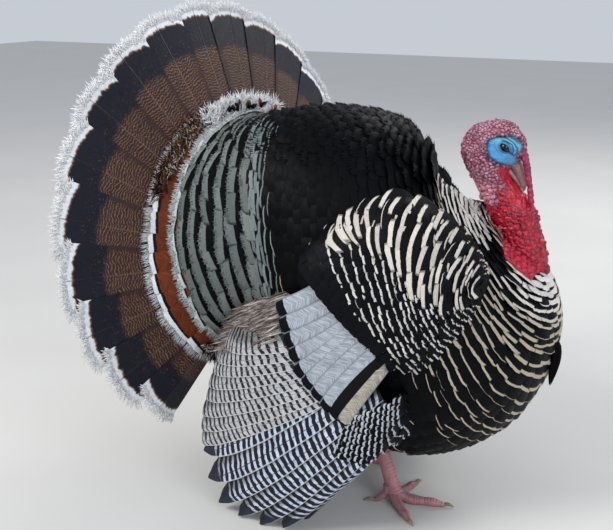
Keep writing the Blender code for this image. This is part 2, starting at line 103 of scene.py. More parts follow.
def smooth_at(rows, q):
    """Catmull-Rom curve through the table's rows, at positions q counted in rows."""
    rows = np.asarray(rows, float)
    q = np.clip(np.asarray(q, float), 0, len(rows) - 1)
    padded = np.vstack([2 * rows[0] - rows[1], rows, 2 * rows[-1] - rows[-2]])
    i = np.minimum(q.astype(int), len(rows) - 2)
    t = (q - i)[..., None]
    a, b, c, d = padded[i], padded[i + 1], padded[i + 2], padded[i + 3]
    return 0.5 * (2 * b + (c - a) * t + (2 * a - 5 * b + 4 * c - d) * t * t + (3 * b - a - 3 * c + d) * t**3)


def smooth_through(rows, count):
    return smooth_at(rows, np.linspace(0, len(rows) - 1, count))


def oval(centre, across, along, angles, power=2.0):
    c, s = np.cos(angles), np.sin(angles)
    c = np.sign(c) * np.abs(c) ** (2 / power)
    s = np.sign(s) * np.abs(s) ** (2 / power)
    return np.asarray(centre) + c[:, None] * np.asarray(along) + s[:, None] * np.asarray(across)


def trunk_ring(row, angles, inset=0.0):
    ux, uz, lx, lz, w, power, narrow = row
    up, low = np.array([ux, 0, uz]), np.array([lx, 0, lz])
    half = (up - low) / 2
    half = half * max(0.0, 1 - inset / max(np.linalg.norm(half), 1e-6))
    ring = oval((up + low) / 2, (0, max(w - inset, 0.004), 0), half, angles, power)
    ring[:, 1] *= 1 - narrow * ((1 + np.cos(angles)) / 2) ** 2
    return settled(ring)


def settled(p):
    """The left side of the back's front end lies lower and further back than the right one."""
    x, y, z = p[..., 0], p[..., 1], p[..., 2]
    k = step_between(y, -0.006, 0.038) * step_between(x, -0.034, 0.022) * (1 - step_between(x, 0.115, 0.170)) * step_between(z, 0.40, 0.50)
    return p + k[..., None] * np.array([-0.014, 0.0, -0.028])


def tail_axes():
    forward = np.array([math.cos(TAIL_YAW), math.sin(TAIL_YAW), 0])
    left = np.array([-math.sin(TAIL_YAW), math.cos(TAIL_YAW), 0])
    z = np.array([0, 0, 1.0])
    up = math.cos(TAIL_TILT) * z - math.sin(TAIL_TILT) * forward
    normal = math.cos(TAIL_TILT) * forward + math.sin(TAIL_TILT) * z
    return math.cos(TAIL_ROLL) * up + math.sin(TAIL_ROLL) * left, -math.sin(TAIL_ROLL) * up + math.cos(TAIL_ROLL) * left, normal


TAIL_U, TAIL_V, TAIL_N = tail_axes()


def tail_point(r, phi, off=0.0):
    """Points on the fan at radius r and angle phi (0 is the middle quill), off in front of it."""
    r, phi, off = (np.asarray(x, float)[..., None] for x in np.broadcast_arrays(r, phi, off))
    lean = TAIL_LEAN + TAIL_CUP * np.minimum(1.0, np.abs(phi / TAIL_SPREAD)) ** 2
    ray = np.cos(phi) * TAIL_U + np.sin(phi) * TAIL_V
    return TAIL_BASE + r * (np.cos(lean) * ray - np.sin(lean) * TAIL_N) + off * (np.sin(lean) * ray + np.cos(lean) * TAIL_N)


def tail_length(phi):
    return TAIL_R * (1 - TAIL_TAPER * (phi / TAIL_SPREAD) ** 2)


def covert_length(phi):
    return COVERT_R - COVERT_DROP * (np.abs(phi) / TAIL_SPREAD) ** 2


def wing_point(u, v):
    u, v = np.broadcast_arrays(np.asarray(u, float), np.asarray(v, float))
    root = smooth_at(WING_ROOT, u * (len(WING_ROOT) - 1))
    tip = smooth_at(WING_TIP, u * (len(WING_TIP) - 1))
    p = root + (tip - root) * v[..., None]
    p[..., 1] -= 0.016 * np.sin(PI * np.minimum(v, 1.0)) * (1 - 0.5 * u)
    return p


def head_frame(p, q, z):
    c, s = math.cos(HEAD_YAW), math.sin(HEAD_YAW)
    p, q, z = np.broadcast_arrays(p, q, z)
    return np.stack([HEAD_AT[0] + p * c - q * s, p * s + q * c, z], -1)


def head_local(points):
    """The head's own p (forward), q (to its left) and z."""
    c, s = math.cos(HEAD_YAW), math.sin(HEAD_YAW)
    x, y = points[..., 0] - HEAD_AT[0], points[..., 1]
    return x * c + y * s, -x * s + y * c, points[..., 2]


# ================================================================ smooth noise in space, seeded
class Noise:
    """Value noise on a seeded lattice, from -1 to 1."""

    def __init__(self, seed):
        self.table = np.random.default_rng(seed).uniform(-1, 1, (32, 32, 32))

    def __call__(self, p, scale, octaves=2):
        total, weight, out = 0.0, 1.0, 0.0
        for _ in range(octaves):
            q = np.asarray(p) * scale
            i = np.floor(q).astype(int)
            f = q - i
            f = f * f * (3 - 2 * f)
            got = 0.0
            for dx in (0, 1):
                for dy in (0, 1):
                    for dz in (0, 1):
                        w = (f[..., 0] if dx else 1 - f[..., 0]) * (f[..., 1] if dy else 1 - f[..., 1]) * (f[..., 2] if dz else 1 - f[..., 2])
                        got = got + w * self.table[(i[..., 0] + dx) % 32, (i[..., 1] + dy) % 32, (i[..., 2] + dz) % 32]
            out = out + weight * got
            total += weight
            weight *= 0.5
            scale *= 2.03
        return out / total


NOISE = Noise(7)


def srgb(r, g, b):
    c = np.array([r, g, b], float) / 255
    return np.where(c <= 0.04045, c / 12.92, ((c + 0.055) / 1.055) ** 2.4)


# ================================================================ charts: where feathers grow
class Chart:
    """A grid of points (A, B, 3) with outward normals; a and b run from 0 to 1, and b may wrap."""

    def __init__(self, grid, wrap, outward=None):
        self.p = np.asarray(grid, float)
        self.wrap = wrap
        n_a, n_b = self.p.shape[:2]
        self.n_a, self.n_b = n_a, n_b
        self.ta = np.gradient(self.p, axis=0) * (n_a - 1)
        if wrap:
            self.tb = (np.roll(self.p, -1, 1) - np.roll(self.p, 1, 1)) / 2 * n_b
        else:
            self.tb = np.gradient(self.p, axis=1) * (n_b - 1)
        n = unit(np.cross(self.ta, self.tb))
        inner = self.p.mean((0, 1)) if outward is None else None
        out = (self.p - inner) if outward is None else np.broadcast_to(outward, self.p.shape)
        if (n * out).sum() < 0:
            n = -n
        self.n = n

    def at(self, a, b):
        a = np.asarray(a, float)
        ac = np.clip(a, 0, 1)
        x = ac * (self.n_a - 1)
        i = np.minimum(x.astype(int), self.n_a - 2)
        f = (x - i)[..., None]
        if self.wrap:
            y = (np.asarray(b, float) % 1) * self.n_b
            j = y.astype(int) % self.n_b
            g = (y - np.floor(y))[..., None]
            k = (j + 1) % self.n_b
            over_b = 0.0
        else:
            bc = np.clip(b, 0, 1)
            y = bc * (self.n_b - 1)
            j = np.minimum(y.astype(int), self.n_b - 2)
            g = (y - j)[..., None]
            k = j + 1
            over_b = (np.asarray(b, float) - bc)[..., None]

        def mix(grid):
            return (grid[i, j] * (1 - g) + grid[i, k] * g) * (1 - f) + (grid[i + 1, j] * (1 - g) + grid[i + 1, k] * g) * f

        ta, tb = mix(self.ta), mix(self.tb)
        return mix(self.p) + (a - ac)[..., None] * ta + over_b * tb, unit(mix(self.n)), ta, tb


def steps_on(ta, tb, way):
    """The chart steps (da, db) that move one metre along way."""
    aa, bb, ab = (ta * ta).sum(-1), (tb * tb).sum(-1), (ta * tb).sum(-1)
    pa, pb = (ta * way).sum(-1), (tb * way).sum(-1)
    det = np.maximum(aa * bb - ab * ab, 0.15 * aa * bb + 1e-12)
    return (bb * pa - ab * pb) / det, (aa * pb - ab * pa) / det


def each(x, n):
    return np.broadcast_to(np.asarray(x, float), (n,))


def lay(ch, a, b, length, width, nv=6, nu=6, turn=0.0, low=-0.009, high=0.001, camber=0.0018, roll=0.0, drop=0.10, blunt=3.0,
        root=0.45, tipw=0.82, jag=0.0, curl=0.0, power=1.0, flow=None, vs=None, rng=None, shaft_bend=0.0):
    """Vanes on a chart: tips at (a, b), lying back along the lines of growing a (turned by turn).

    Returns the front grid (N, nv+1, nu+1, 3), its normals, along-from-tip and cross distances in metres, u and v."""
    n = len(a)
    length, width, turn = each(length, n), each(width, n), each(turn, n)
    low, high, camber, roll, curl = each(low, n), each(high, n), each(camber, n), each(roll, n), each(curl, n)
    v = np.linspace(0, 1, nv + 1) if vs is None else np.asarray(vs, float)
    nv = len(v) - 1
    u = np.linspace(-1, 1, nu + 1)
    ca, cb = np.empty((n, nv + 1)), np.empty((n, nv + 1))
    along, cross = np.empty((n, nv + 1, 2)), np.empty((n, nv + 1, 2))
    pa, pb = np.array(a, float), np.array(b, float)
    for j in range(nv, -1, -1):
        _, nn, ta, tb = ch.at(pa, pb)
        x = ta - tb * ((ta * tb).sum(-1) / np.maximum((tb * tb).sum(-1), 1e-12))[:, None]
        x = unit(x - nn * (x * nn).sum(-1)[:, None])
        y = np.cross(nn, x)
        th = turn + (flow(pa, pb) if flow else 0.0) + shaft_bend * (1 - v[j])
        d = np.cos(th)[:, None] * x + np.sin(th)[:, None] * y
        c = np.cross(nn, d)
        ca[:, j], cb[:, j] = pa, pb
        da = np.stack(steps_on(ta, tb, d), -1)
        along[:, j], cross[:, j] = da, np.stack(steps_on(ta, tb, c), -1)
        if j:
            step = (v[j] - v[j - 1]) * length
            pa, pb = pa - step * da[:, 0], pb - step * da[:, 1]
    w = root + (1 - root) * np.sin(np.minimum(v / 0.7, 1) * PI / 2)
    w = w * (1 - (1 - tipw) * np.clip((v - 0.78) / 0.22, 0, 1) ** 2)
    cr = u[None, None, :] * (w[None, :] * width[:, None] / 2)[:, :, None]
    shift = -drop * length[:, None, None] * np.abs(u)[None, None, :] ** blunt * (v ** 4)[None, :, None]
    if jag and rng is not None:
        shift = shift + np.zeros((n, nv + 1, nu + 1))
        shift[:, -1] += rng.uniform(-jag, jag * 0.4, (n, nu + 1))
    A = ca[:, :, None] + cr * cross[:, :, None, 0] + shift * along[:, :, None, 0]
    B = cb[:, :, None] + cr * cross[:, :, None, 1] + shift * along[:, :, None, 1]
    P, N, _, _ = ch.at(A, B)
    h = low[:, None] + (high - low)[:, None] * v[None, :] ** power + curl[:, None] * np.clip((v[None, :] - 0.7) / 0.3, 0, 1) ** 2
    h = h[:, :, None] - camber[:, None, None] * (u**2)[None, None, :] + roll[:, None, None] * u[None, None, :]
    P = P + N * h[..., None]
    from_tip = np.broadcast_to((1 - v)[None, :, None] * length[:, None, None], P.shape[:3])
    return {"P": P, "N": N, "d": from_tip, "c": np.broadcast_to(cr, P.shape[:3]),
            "u": np.broadcast_to(u[None, None, :], P.shape[:3]), "v": np.broadcast_to(v[None, :, None], P.shape[:3]), "n": n}


# ================================================================ pieces made of many vanes
class Coat:
    """Collects vanes and hairs, and makes them into meshes of under 190,000 triangles."""

    LIMIT = 185000

    def __init__(self, name, material, slot):
        self.name, self.slot = name, slot
        self.materials = material if isinstance(material, list) else [material]
        self.parts = []

    def add(self, verts, quads, tris, mat, bake, cols, smooth=True, tag=None):
        """verts (n,3); quads (m,4); tris (k,3); bake: OFBake place of each vertex; cols: dict of per-vertex arrays."""
        self.parts.append((verts, quads, tris, mat, bake, cols))

    def vanes(self, f, place, w=(0.004, 0.0, 0.0), c1=(0.6, 0.6, 0.6), c3=(0.01, 0.01, 0.012), c0=(0.008, 0.008, 0.010), mat=0, thick=0.0008,
              island=None, seed=0, zone_v=None, chunk=None):
        """Closed thin vanes from lay().  w, c1, c3, c0 are single or one per vane.  place (N,2): where on the skin's unwrap."""
        P, N = f["P"], f["N"]
        n, rows, cols = P.shape[0], P.shape[1], P.shape[2]
        rng = np.random.default_rng(seed + 1000)
        rnd = rng.random(n)
        mid = cols // 2
        per_tris = (rows - 1) * (cols - 1) * 2 + (rows - 1) * 4 + 2 * (cols - 1)
        chunk = max(1, int(self.LIMIT // per_tris)) if chunk is None else chunk
        w = np.broadcast_to(np.asarray(w, float), (n, 3))
        w = np.where(w <= 0, -0.004, w)               # no band at all
        c1, c3, c0 = (np.broadcast_to(np.asarray(c, float), (n, 3)) for c in (c1, c3, c0))
        t = thick * (1 - 0.6 * f["v"][0, :, 0])
        back = P - N * t[None, :, None, None]
        L, C, R = P[:, :, 0], back[:, :, mid], P[:, :, -1]
        front = P.reshape(n, rows * cols, 3)
        verts = np.concatenate([front, L, C, R, P[:, -1]], 1)
        grid = np.arange(rows * cols).reshape(rows, cols)
        quads = np.stack([grid[:-1, :-1], grid[:-1, 1:], grid[1:, 1:], grid[1:, :-1]], -1).reshape(-1, 4)
        iL = rows * cols + np.arange(rows)
        iC, iR = iL + rows, iL + 2 * rows
        iT = rows * cols + 3 * rows + np.arange(cols)
        bq = np.concatenate([np.stack([iL[:-1], iL[1:], iC[1:], iC[:-1]], -1), np.stack([iC[:-1], iC[1:], iR[1:], iR[:-1]], -1)])
        tip = np.stack([np.full(cols - 1, iC[-1]), iT[1:], iT[:-1]], -1)
        rootf = np.stack([np.full(cols - 1, iC[0]), grid[0, :-1], grid[0, 1:]], -1)
        # face the front outward
        k = n // 2
        e = np.cross(P[:, 1, 1] - P[:, 1, 0], P[:, 2, 0] - P[:, 1, 0])
        if (e * N[:, 1, 0]).sum() < 0:
            quads, bq, tip, rootf = quads[:, ::-1], bq[:, ::-1], tip[:, ::-1], rootf[:, ::-1]
        quads = np.concatenate([quads, bq])
        tris = np.concatenate([tip, rootf])

        def per_vertex(x):
            x = np.asarray(x)
            g = x.reshape(n, rows * cols, -1)
            y = x.reshape(n, rows, cols, -1)
            return np.concatenate([g, y[:, :, 0], y[:, :, mid], y[:, :, -1], y[:, -1]], 1)

        m = verts.shape[1]
        ones = np.ones((n, m, 1))
        fa = np.concatenate([per_vertex(f["u"]), per_vertex(f["v"]), rnd[:, None, None] * ones], -1)
        fb = np.concatenate([per_vertex(f["d"]), per_vertex(f["c"]), rnd[:, None, None] * ones], -1)
        # the bake patch: three steps along it, so that the band keeps a place of its own
        vv = per_vertex(f["v"])[..., 0]
        dd = per_vertex(f["d"])[..., 0]
        band = w[:, None, 0]
        along = np.where(dd <= band * 1.02, 1 - 0.34 * dd / np.maximum(band, 1e-5), 0.62 * np.clip(vv, 0, 1))
        if island is None:
            size = 0.0034
            bake = np.stack([place[:, None, 0] + size * (0.5 + 0.45 * per_vertex(f["u"])[..., 0] - 0.5), place[:, None, 1] + size * (along - 0.5)], -1)
        else:
            x0, y0, x1, y1 = island.T[:, :, None]
            bake = np.stack([x0 + (x1 - x0) * (0.5 + 0.5 * per_vertex(f["u"])[..., 0]), y0 + (y1 - y0) * vv], -1)
        bake = np.clip(bake, 0.0005, 0.9995)
        for s in range(0, n, chunk):
            k = min(chunk, n - s)
            off = (np.arange(k) * m)[:, None, None]
            self.add(verts[s:s + k].reshape(-1, 3), (quads[None] + off).reshape(-1, 4), (tris[None] + off).reshape(-1, 3), mat, bake[s:s + k].reshape(-1, 2),
                     {"fa": fa[s:s + k].reshape(-1, 3), "fb": fb[s:s + k].reshape(-1, 3), "fw": np.repeat(w[s:s + k], m, 0),
                      "c1": np.repeat(c1[s:s + k], m, 0), "c3": np.repeat(c3[s:s + k], m, 0), "c0": np.repeat(c0[s:s + k], m, 0)})

    def hairs(self, base, way, normal, length, width, place, colour, bend=0.0, mat=0, flat=0.5):
        """Closed three-sided spikes with one bend."""
        n = len(base)
        length, width, bend = each(length, n)[:, None], each(width, n)[:, None], each(bend, n)[:, None]
        way = unit(way)
        side = unit(np.cross(normal, way))
        up = np.cross(way, side)
        rings = []
        for share, fat in ((0.0, 1.0), (0.55, 0.8)):
            at = base + way * length * share + up * bend * share**2
            rings += [at - side * width / 2 * fat, at + side * width / 2 * fat, at - up * width * flat * fat]
        tip = base + way * length + up * bend
        verts = np.stack([*rings, tip], 1)
        q = np.array([(0, 1, 4, 3), (1, 2, 5, 4), (2, 0, 3, 5)])
        t = np.array([(0, 2, 1), (3, 4, 6), (4, 5, 6), (5, 3, 6)])
        m = 7
        off = (np.arange(n) * m)[:, None, None]
        colour = np.broadcast_to(np.asarray(colour, float), (n, 3))
        rnd = np.random.default_rng(n).random(n)
        fa = np.repeat(np.stack([np.zeros(n), np.ones(n), rnd], -1), m, 0)
        fb = np.zeros((n, m, 3))
        fb[:, :3, 0] = length
        fb[:, 3:6, 0] = length * 0.45
        fb[:, :, 2] = rnd[:, None]
        bake = np.repeat(np.clip(place, 0.002, 0.998), m, 0) + np.tile(np.array([(-1, -1), (1, -1), (0, -1), (-1, 1), (1, 1), (0, 1), (0, 1.4)]) * 0.0011, (n, 1))
        cc = np.repeat(colour, m, 0)
        self.add(verts.reshape(-1, 3), (q[None] + off).reshape(-1, 4), (t[None] + off).reshape(-1, 3), mat, bake,
                 {"fa": fa, "fb": fb.reshape(-1, 3), "fw": np.full((n * m, 3), -0.004), "c1": cc, "c3": cc, "c0": cc})

    def build(self, replaces=()):
        groups, count = [[]], 0
        for part in self.parts:
            tris = 2 * len(part[1]) + len(part[2])
            if count + tris > 195000 and groups[-1]:
                groups.append([])
                count = 0
            groups[-1].append(part)
            count += tris
        made = []
        for i, group in enumerate(groups):
            name = self.name if len(groups) == 1 else f"{self.name}_{i + 1}"
            made.append(mesh_piece(name, group, self.materials))
        return made


TRIANGLES = {}


def mesh_piece(name, group, materials, body="root"):
    offs = np.cumsum([0] + [len(g[0]) for g in group])
    verts = np.concatenate([g[0] for g in group]) + SHIFT
    quads = np.concatenate([g[1] + o for g, o in zip(group, offs)]).astype(np.int64)
    tris = np.concatenate([g[2] + o for g, o in zip(group, offs)]).astype(np.int64)
    mats = np.concatenate([np.full(len(g[1]), g[3]) for g in group] + [np.full(len(g[2]), g[3]) for g in group])
    bake = np.concatenate([g[4] for g in group])
    me = bpy.data.meshes.new(name)
    me.vertices.add(len(verts))
    me.vertices.foreach_set("co", verts.astype(np.float32).ravel())
    loops = np.concatenate([quads.ravel(), tris.ravel()]).astype(np.int32)
    me.loops.add(len(loops))
    me.loops.foreach_set("vertex_index", loops)
    start = np.concatenate([np.arange(len(quads)) * 4, len(quads) * 4 + np.arange(len(tris)) * 3]).astype(np.int32)
    me.polygons.add(len(start))
    me.polygons.foreach_set("loop_start", start)
    me.polygons.foreach_set("material_index", mats.astype(np.int32))
    me.polygons.foreach_set("use_smooth", np.ones(len(start), bool))
    me.update(calc_edges=True)
    for key in group[0][5]:
        data = np.concatenate([g[5][key] for g in group]).astype(np.float32)
        if key.startswith("c"):
            at = me.attributes.new(key, "FLOAT_COLOR", "POINT")
            at.data.foreach_set("color", np.concatenate([data, np.ones((len(data), 1), np.float32)], 1).ravel())
        else:
            at = me.attributes.new(key, "FLOAT_VECTOR", "POINT")
            at.data.foreach_set("vector", data.ravel())
    uv = me.uv_layers.new(name="OFBake")
    uv.uv.foreach_set("vector", bake[loops].astype(np.float32).ravel())
    for m in materials:
        me.materials.append(m)
    me.validate()
    ob = bpy.data.objects.new(name, me)
    bpy.context.scene.collection.objects.link(ob)
    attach(ob, body)
    TRIANGLES[name] = 2 * len(quads) + len(tris)
    return ob


# ================================================================ materials
class Nodes:
    """Small helper for writing node graphs."""

    def __init__(self, name):
        self.mat = bpy.data.materials.new(name)
        self.mat.use_nodes = True
        self.nt = self.mat.node_tree
        self.nt.nodes.clear()
        self.out = self.nt.nodes.new("ShaderNodeOutputMaterial")
        self.bsdf = self.nt.nodes.new("ShaderNodeBsdfPrincipled")
        self.nt.links.new(self.bsdf.outputs["BSDF"], self.out.inputs["Surface"])

    def put(self, socket, value):
        if isinstance(value, bpy.types.NodeSocket):
            self.nt.links.new(value, socket)
        elif isinstance(value, (tuple, list, np.ndarray)):
            value = tuple(float(x) for x in value)
            socket.default_value = (*value, 1.0) if socket.type == "RGBA" and len(value) == 3 else value
        else:
            socket.default_value = value

    def node(self, kind, **inputs):
        node = self.nt.nodes.new(kind)
        for key, value in inputs.items():
            if key.startswith("_"):
                setattr(node, key[1:], value)
            else:
                self.put(node.inputs[key.replace("__", " ")], value)
        return node

    def math(self, op, a, b=0.0, c=None, clamp=False):
        node = self.nt.nodes.new("ShaderNodeMath")
        node.operation, node.use_clamp = op, clamp
        self.put(node.inputs[0], a)
        self.put(node.inputs[1], b)
        if c is not None:
            self.put(node.inputs[2], c)
        return node.outputs[0]

    def attr(self, name, out="Vector"):
        node = self.nt.nodes.new("ShaderNodeAttribute")
        node.attribute_name = name
        return node.outputs[out]

    def xyz(self, vec):
        node = self.nt.nodes.new("ShaderNodeSeparateXYZ")
        self.put(node.inputs[0], vec)
        return node.outputs[0], node.outputs[1], node.outputs[2]

    def vec(self, x, y, z):
        node = self.nt.nodes.new("ShaderNodeCombineXYZ")
        for s, v in zip(node.inputs, (x, y, z)):
            self.put(s, v)
        return node.outputs[0]

    def noise(self, vec, scale=1.0, detail=2.0, rough=0.5, distortion=0.0):
        node = self.nt.nodes.new("ShaderNodeTexNoise")
        self.put(node.inputs["Vector"], vec)
        self.put(node.inputs["Scale"], scale)
        self.put(node.inputs["Detail"], detail)
        self.put(node.inputs["Roughness"], rough)
        self.put(node.inputs["Distortion"], distortion)
        return node.outputs["Fac"]

    def step(self, x, a, b):
        """0 at a, 1 at b, smooth and clamped."""
        node = self.nt.nodes.new("ShaderNodeMapRange")
        node.interpolation_type = "SMOOTHSTEP"
        for s, v in zip(("Value", "From Min", "From Max", "To Min", "To Max"), (x, a, b, 0.0, 1.0)):
            self.put(node.inputs[s], v)
        return node.outputs["Result"]

    def span(self, x, a, b, lo=0.0, hi=1.0):
        node = self.nt.nodes.new("ShaderNodeMapRange")
        for s, v in zip(("Value", "From Min", "From Max", "To Min", "To Max"), (x, a, b, lo, hi)):
            self.put(node.inputs[s], v)
        return node.outputs["Result"]

    def mix(self, fac, a, b, kind="MIX"):
        node = self.nt.nodes.new("ShaderNodeMix")
        node.data_type = "RGBA"
        node.blend_type = kind
        self.put(node.inputs[0], fac)
        self.put(node.inputs[6], a)
        self.put(node.inputs[7], b)
        return node.outputs[2]

    def bump(self, height, distance, strength=1.0):
        node = self.nt.nodes.new("ShaderNodeBump")
        self.put(node.inputs["Height"], height)
        self.put(node.inputs["Distance"], distance)
        self.put(node.inputs["Strength"], strength)
        self.nt.links.new(node.outputs["Normal"], self.bsdf.inputs["Normal"])

    def finish(self, colour, rough, **sockets):
        self.put(self.bsdf.inputs["Base Color"], colour)
        self.put(self.bsdf.inputs["Roughness"], rough)
        for key, value in sockets.items():
            self.put(self.bsdf.inputs[key.replace("_", " ")], value)
        return self.mat


def feather_coords(m):
    d, c, rnd = m.xyz(m.attr("fb"))
    u, v, _ = m.xyz(m.attr("fa"))
    ac = m.math("ABSOLUTE", c)
    q = m.math("MULTIPLY_ADD", ac, 0.85, d)          # one barb is a line of equal q
    salt = m.math("MULTIPLY", rnd, 37.0)
    barbs = m.noise(m.vec(m.math("MULTIPLY", q, 620.0), m.math("MULTIPLY", c, 70.0), salt), 1.0, 2.0, 0.6)
    soft = m.noise(m.vec(m.math("MULTIPLY", q, 120.0), m.math("MULTIPLY", c, 60.0), salt), 1.0, 2.0, 0.55)
    return d, c, ac, u, v, rnd, barbs, soft


def contour_material(name, sheen=(0.10, 0.16, 0.30), rough=0.5, ragged=0.0022):
    """Body feathers: a tip band of colour c1, a dark line, colour c3, then the dark base c0."""
    m = Nodes(name)
    d, c, ac, u, v, rnd, barbs, soft = feather_coords(m)
    w1, w2, w3 = m.xyz(m.attr("fw"))
    shake = m.math("MULTIPLY_ADD", m.math("SUBTRACT", barbs, 0.5), ragged, m.math("MULTIPLY", m.math("SUBTRACT", soft, 0.5), ragged * 0.8))
    dd = m.math("ADD", d, shake)
    in1 = m.step(dd, m.math("ADD", w1, 0.0004), m.math("SUBTRACT", w1, 0.0004))
    in2 = m.step(dd, m.math("ADD", w2, 0.0004), m.math("SUBTRACT", w2, 0.0004))
    in3 = m.step(dd, m.math("ADD", w3, 0.0006), m.math("SUBTRACT", w3, 0.0006))
    tone = m.span(barbs, 0.25, 0.75, 0.76, 1.12)
    wide = m.span(soft, 0.3, 0.7, 0.93, 1.05)
    k = m.math("MULTIPLY", tone, wide)
    # painted shade: the vane's sides darken towards the base colour, as the shade between neighbouring feathers
    side = m.step(m.math("MULTIPLY_ADD", m.math("SUBTRACT", barbs, 0.5), 0.14, m.math("ABSOLUTE", u)), 0.80, 0.92)
    third = m.mix(m.span(barbs, 0.35, 0.65, 0.40, 0.0), m.attr("c3", "Color"), (0.012, 0.008, 0.007))
    col = m.mix(in3, m.attr("c0", "Color"), third)
    col = m.mix(in2, col, (0.006, 0.006, 0.007))
    col = m.mix(in1, col, m.attr("c1", "Color"))
    col = m.mix(m.math("MULTIPLY", side, 0.70), col, m.attr("c0", "Color"))
    col = m.mix(1.0, col, m.vec(k, k, k), "MULTIPLY")
    m.bump(barbs, 0.0005, 0.5)
    r = m.span(soft, 0.3, 0.7, rough - 0.07, rough + 0.10)
    return m.finish(col, r, Sheen_Weight=0.015, Sheen_Roughness=0.4, Sheen_Tint=(*sheen, 1.0), Specular_IOR_Level=0.07)


def fan_material(name):
    """Tail quills: white tip, rusty line, blue-black band, then brown with fine wavy tan bars."""
    m = Nodes(name)
    d, c, ac, u, v, rnd, barbs, soft = feather_coords(m)
    salt = m.math("MULTIPLY", rnd, 61.0)
    wavy = m.noise(m.vec(m.math("MULTIPLY", d, 60.0), m.math("MULTIPLY", c, 90.0), salt), 1.0, 2.0, 0.5)
    fine = m.noise(m.vec(m.math("MULTIPLY", d, 420.0), m.math("MULTIPLY", c, 300.0), salt), 1.0, 3.0, 0.6)
    au = m.math("ABSOLUTE", u)
    edge = m.math("MULTIPLY", m.math("SUBTRACT", wavy, 0.5), 0.008)
    dd = m.math("ADD", d, edge)
    dd = m.math("ADD", dd, m.math("MULTIPLY", m.math("SUBTRACT", barbs, 0.5), 0.004))
    # wavy cross bars, about 5 mm apart, broken up by noise
    bend = m.math("MULTIPLY_ADD", ac, 0.25, m.math("MULTIPLY", wavy, 0.012))
    phase = m.math("MULTIPLY", m.math("ADD", d, bend), 2 * PI / 0.0050)
    bars = m.math("SINE", phase)
    bars = m.math("MULTIPLY_ADD", m.math("SUBTRACT", fine, 0.5), 3.0, bars)
    bars = m.step(bars, 0.25, 0.95)
    quiet = m.step(m.math("MULTIPLY_ADD", m.math("SUBTRACT", wavy, 0.5), 0.5, au), 0.93, 0.70)   # plain along the outer edges
    brown = m.mix(soft, srgb(34, 21, 22), srgb(72, 45, 44))
    tan = m.mix(fine, srgb(94, 68, 52), srgb(154, 120, 92))
    inner = m.mix(m.math("MULTIPLY", bars, m.math("MULTIPLY_ADD", quiet, 0.72, 0.10)), brown, tan)
    # the black band: its own blue-black, with blue patches that are painted sheen
    black = m.mix(soft, srgb(7, 8, 16), srgb(20, 24, 42))
    rust = m.mix(fine, srgb(58, 34, 28), srgb(136, 92, 66))
    white = m.mix(soft, srgb(226, 230, 234), srgb(250, 251, 252))
    flecks = m.math("MULTIPLY", m.step(fine, 0.60, 0.70), m.step(m.math("MULTIPLY_ADD", wavy, 0.05, d), 0.058, 0.084))
    col = m.mix(m.step(dd, 0.077, 0.065), inner, m.mix(m.math("MULTIPLY", flecks, 0.8), black, rust))
    col = m.mix(m.step(dd, 0.0195, 0.0182), col, rust)
    col = m.mix(m.step(dd, 0.0172, 0.0158), col, m.mix(0.35, white, rust))
    col = m.mix(m.step(dd, 0.0156, 0.0142), col, white)
    shaft = m.math("MULTIPLY", m.step(ac, 0.0011, 0.0006), m.step(d, 0.055, 0.10))
    col = m.mix(m.math("MULTIPLY", shaft, 0.42), col, srgb(132, 102, 80))
    dark_shaft = m.math("MULTIPLY", m.step(ac, 0.0013, 0.0007), m.step(d, 0.055, 0.03))
    col = m.mix(m.math("MULTIPLY", dark_shaft, 0.55), col, srgb(40, 30, 30))
    k = m.math("MULTIPLY", m.span(barbs, 0.25, 0.75, 0.72, 1.12), m.span(rnd, 0.0, 1.0, 0.82, 1.08))
    col = m.mix(1.0, col, m.vec(k, k, k), "MULTIPLY")
    m.bump(m.math("ADD", barbs, m.math("MULTIPLY", m.step(ac, 0.0022, 0.0), 1.5)), 0.0007, 0.5)
    r = m.span(soft, 0.3, 0.7, 0.42, 0.56)
    return m.finish(col, r, Sheen_Weight=0.04, Sheen_Tint=(0.35, 0.28, 0.30, 1.0), Specular_IOR_Level=0.22)


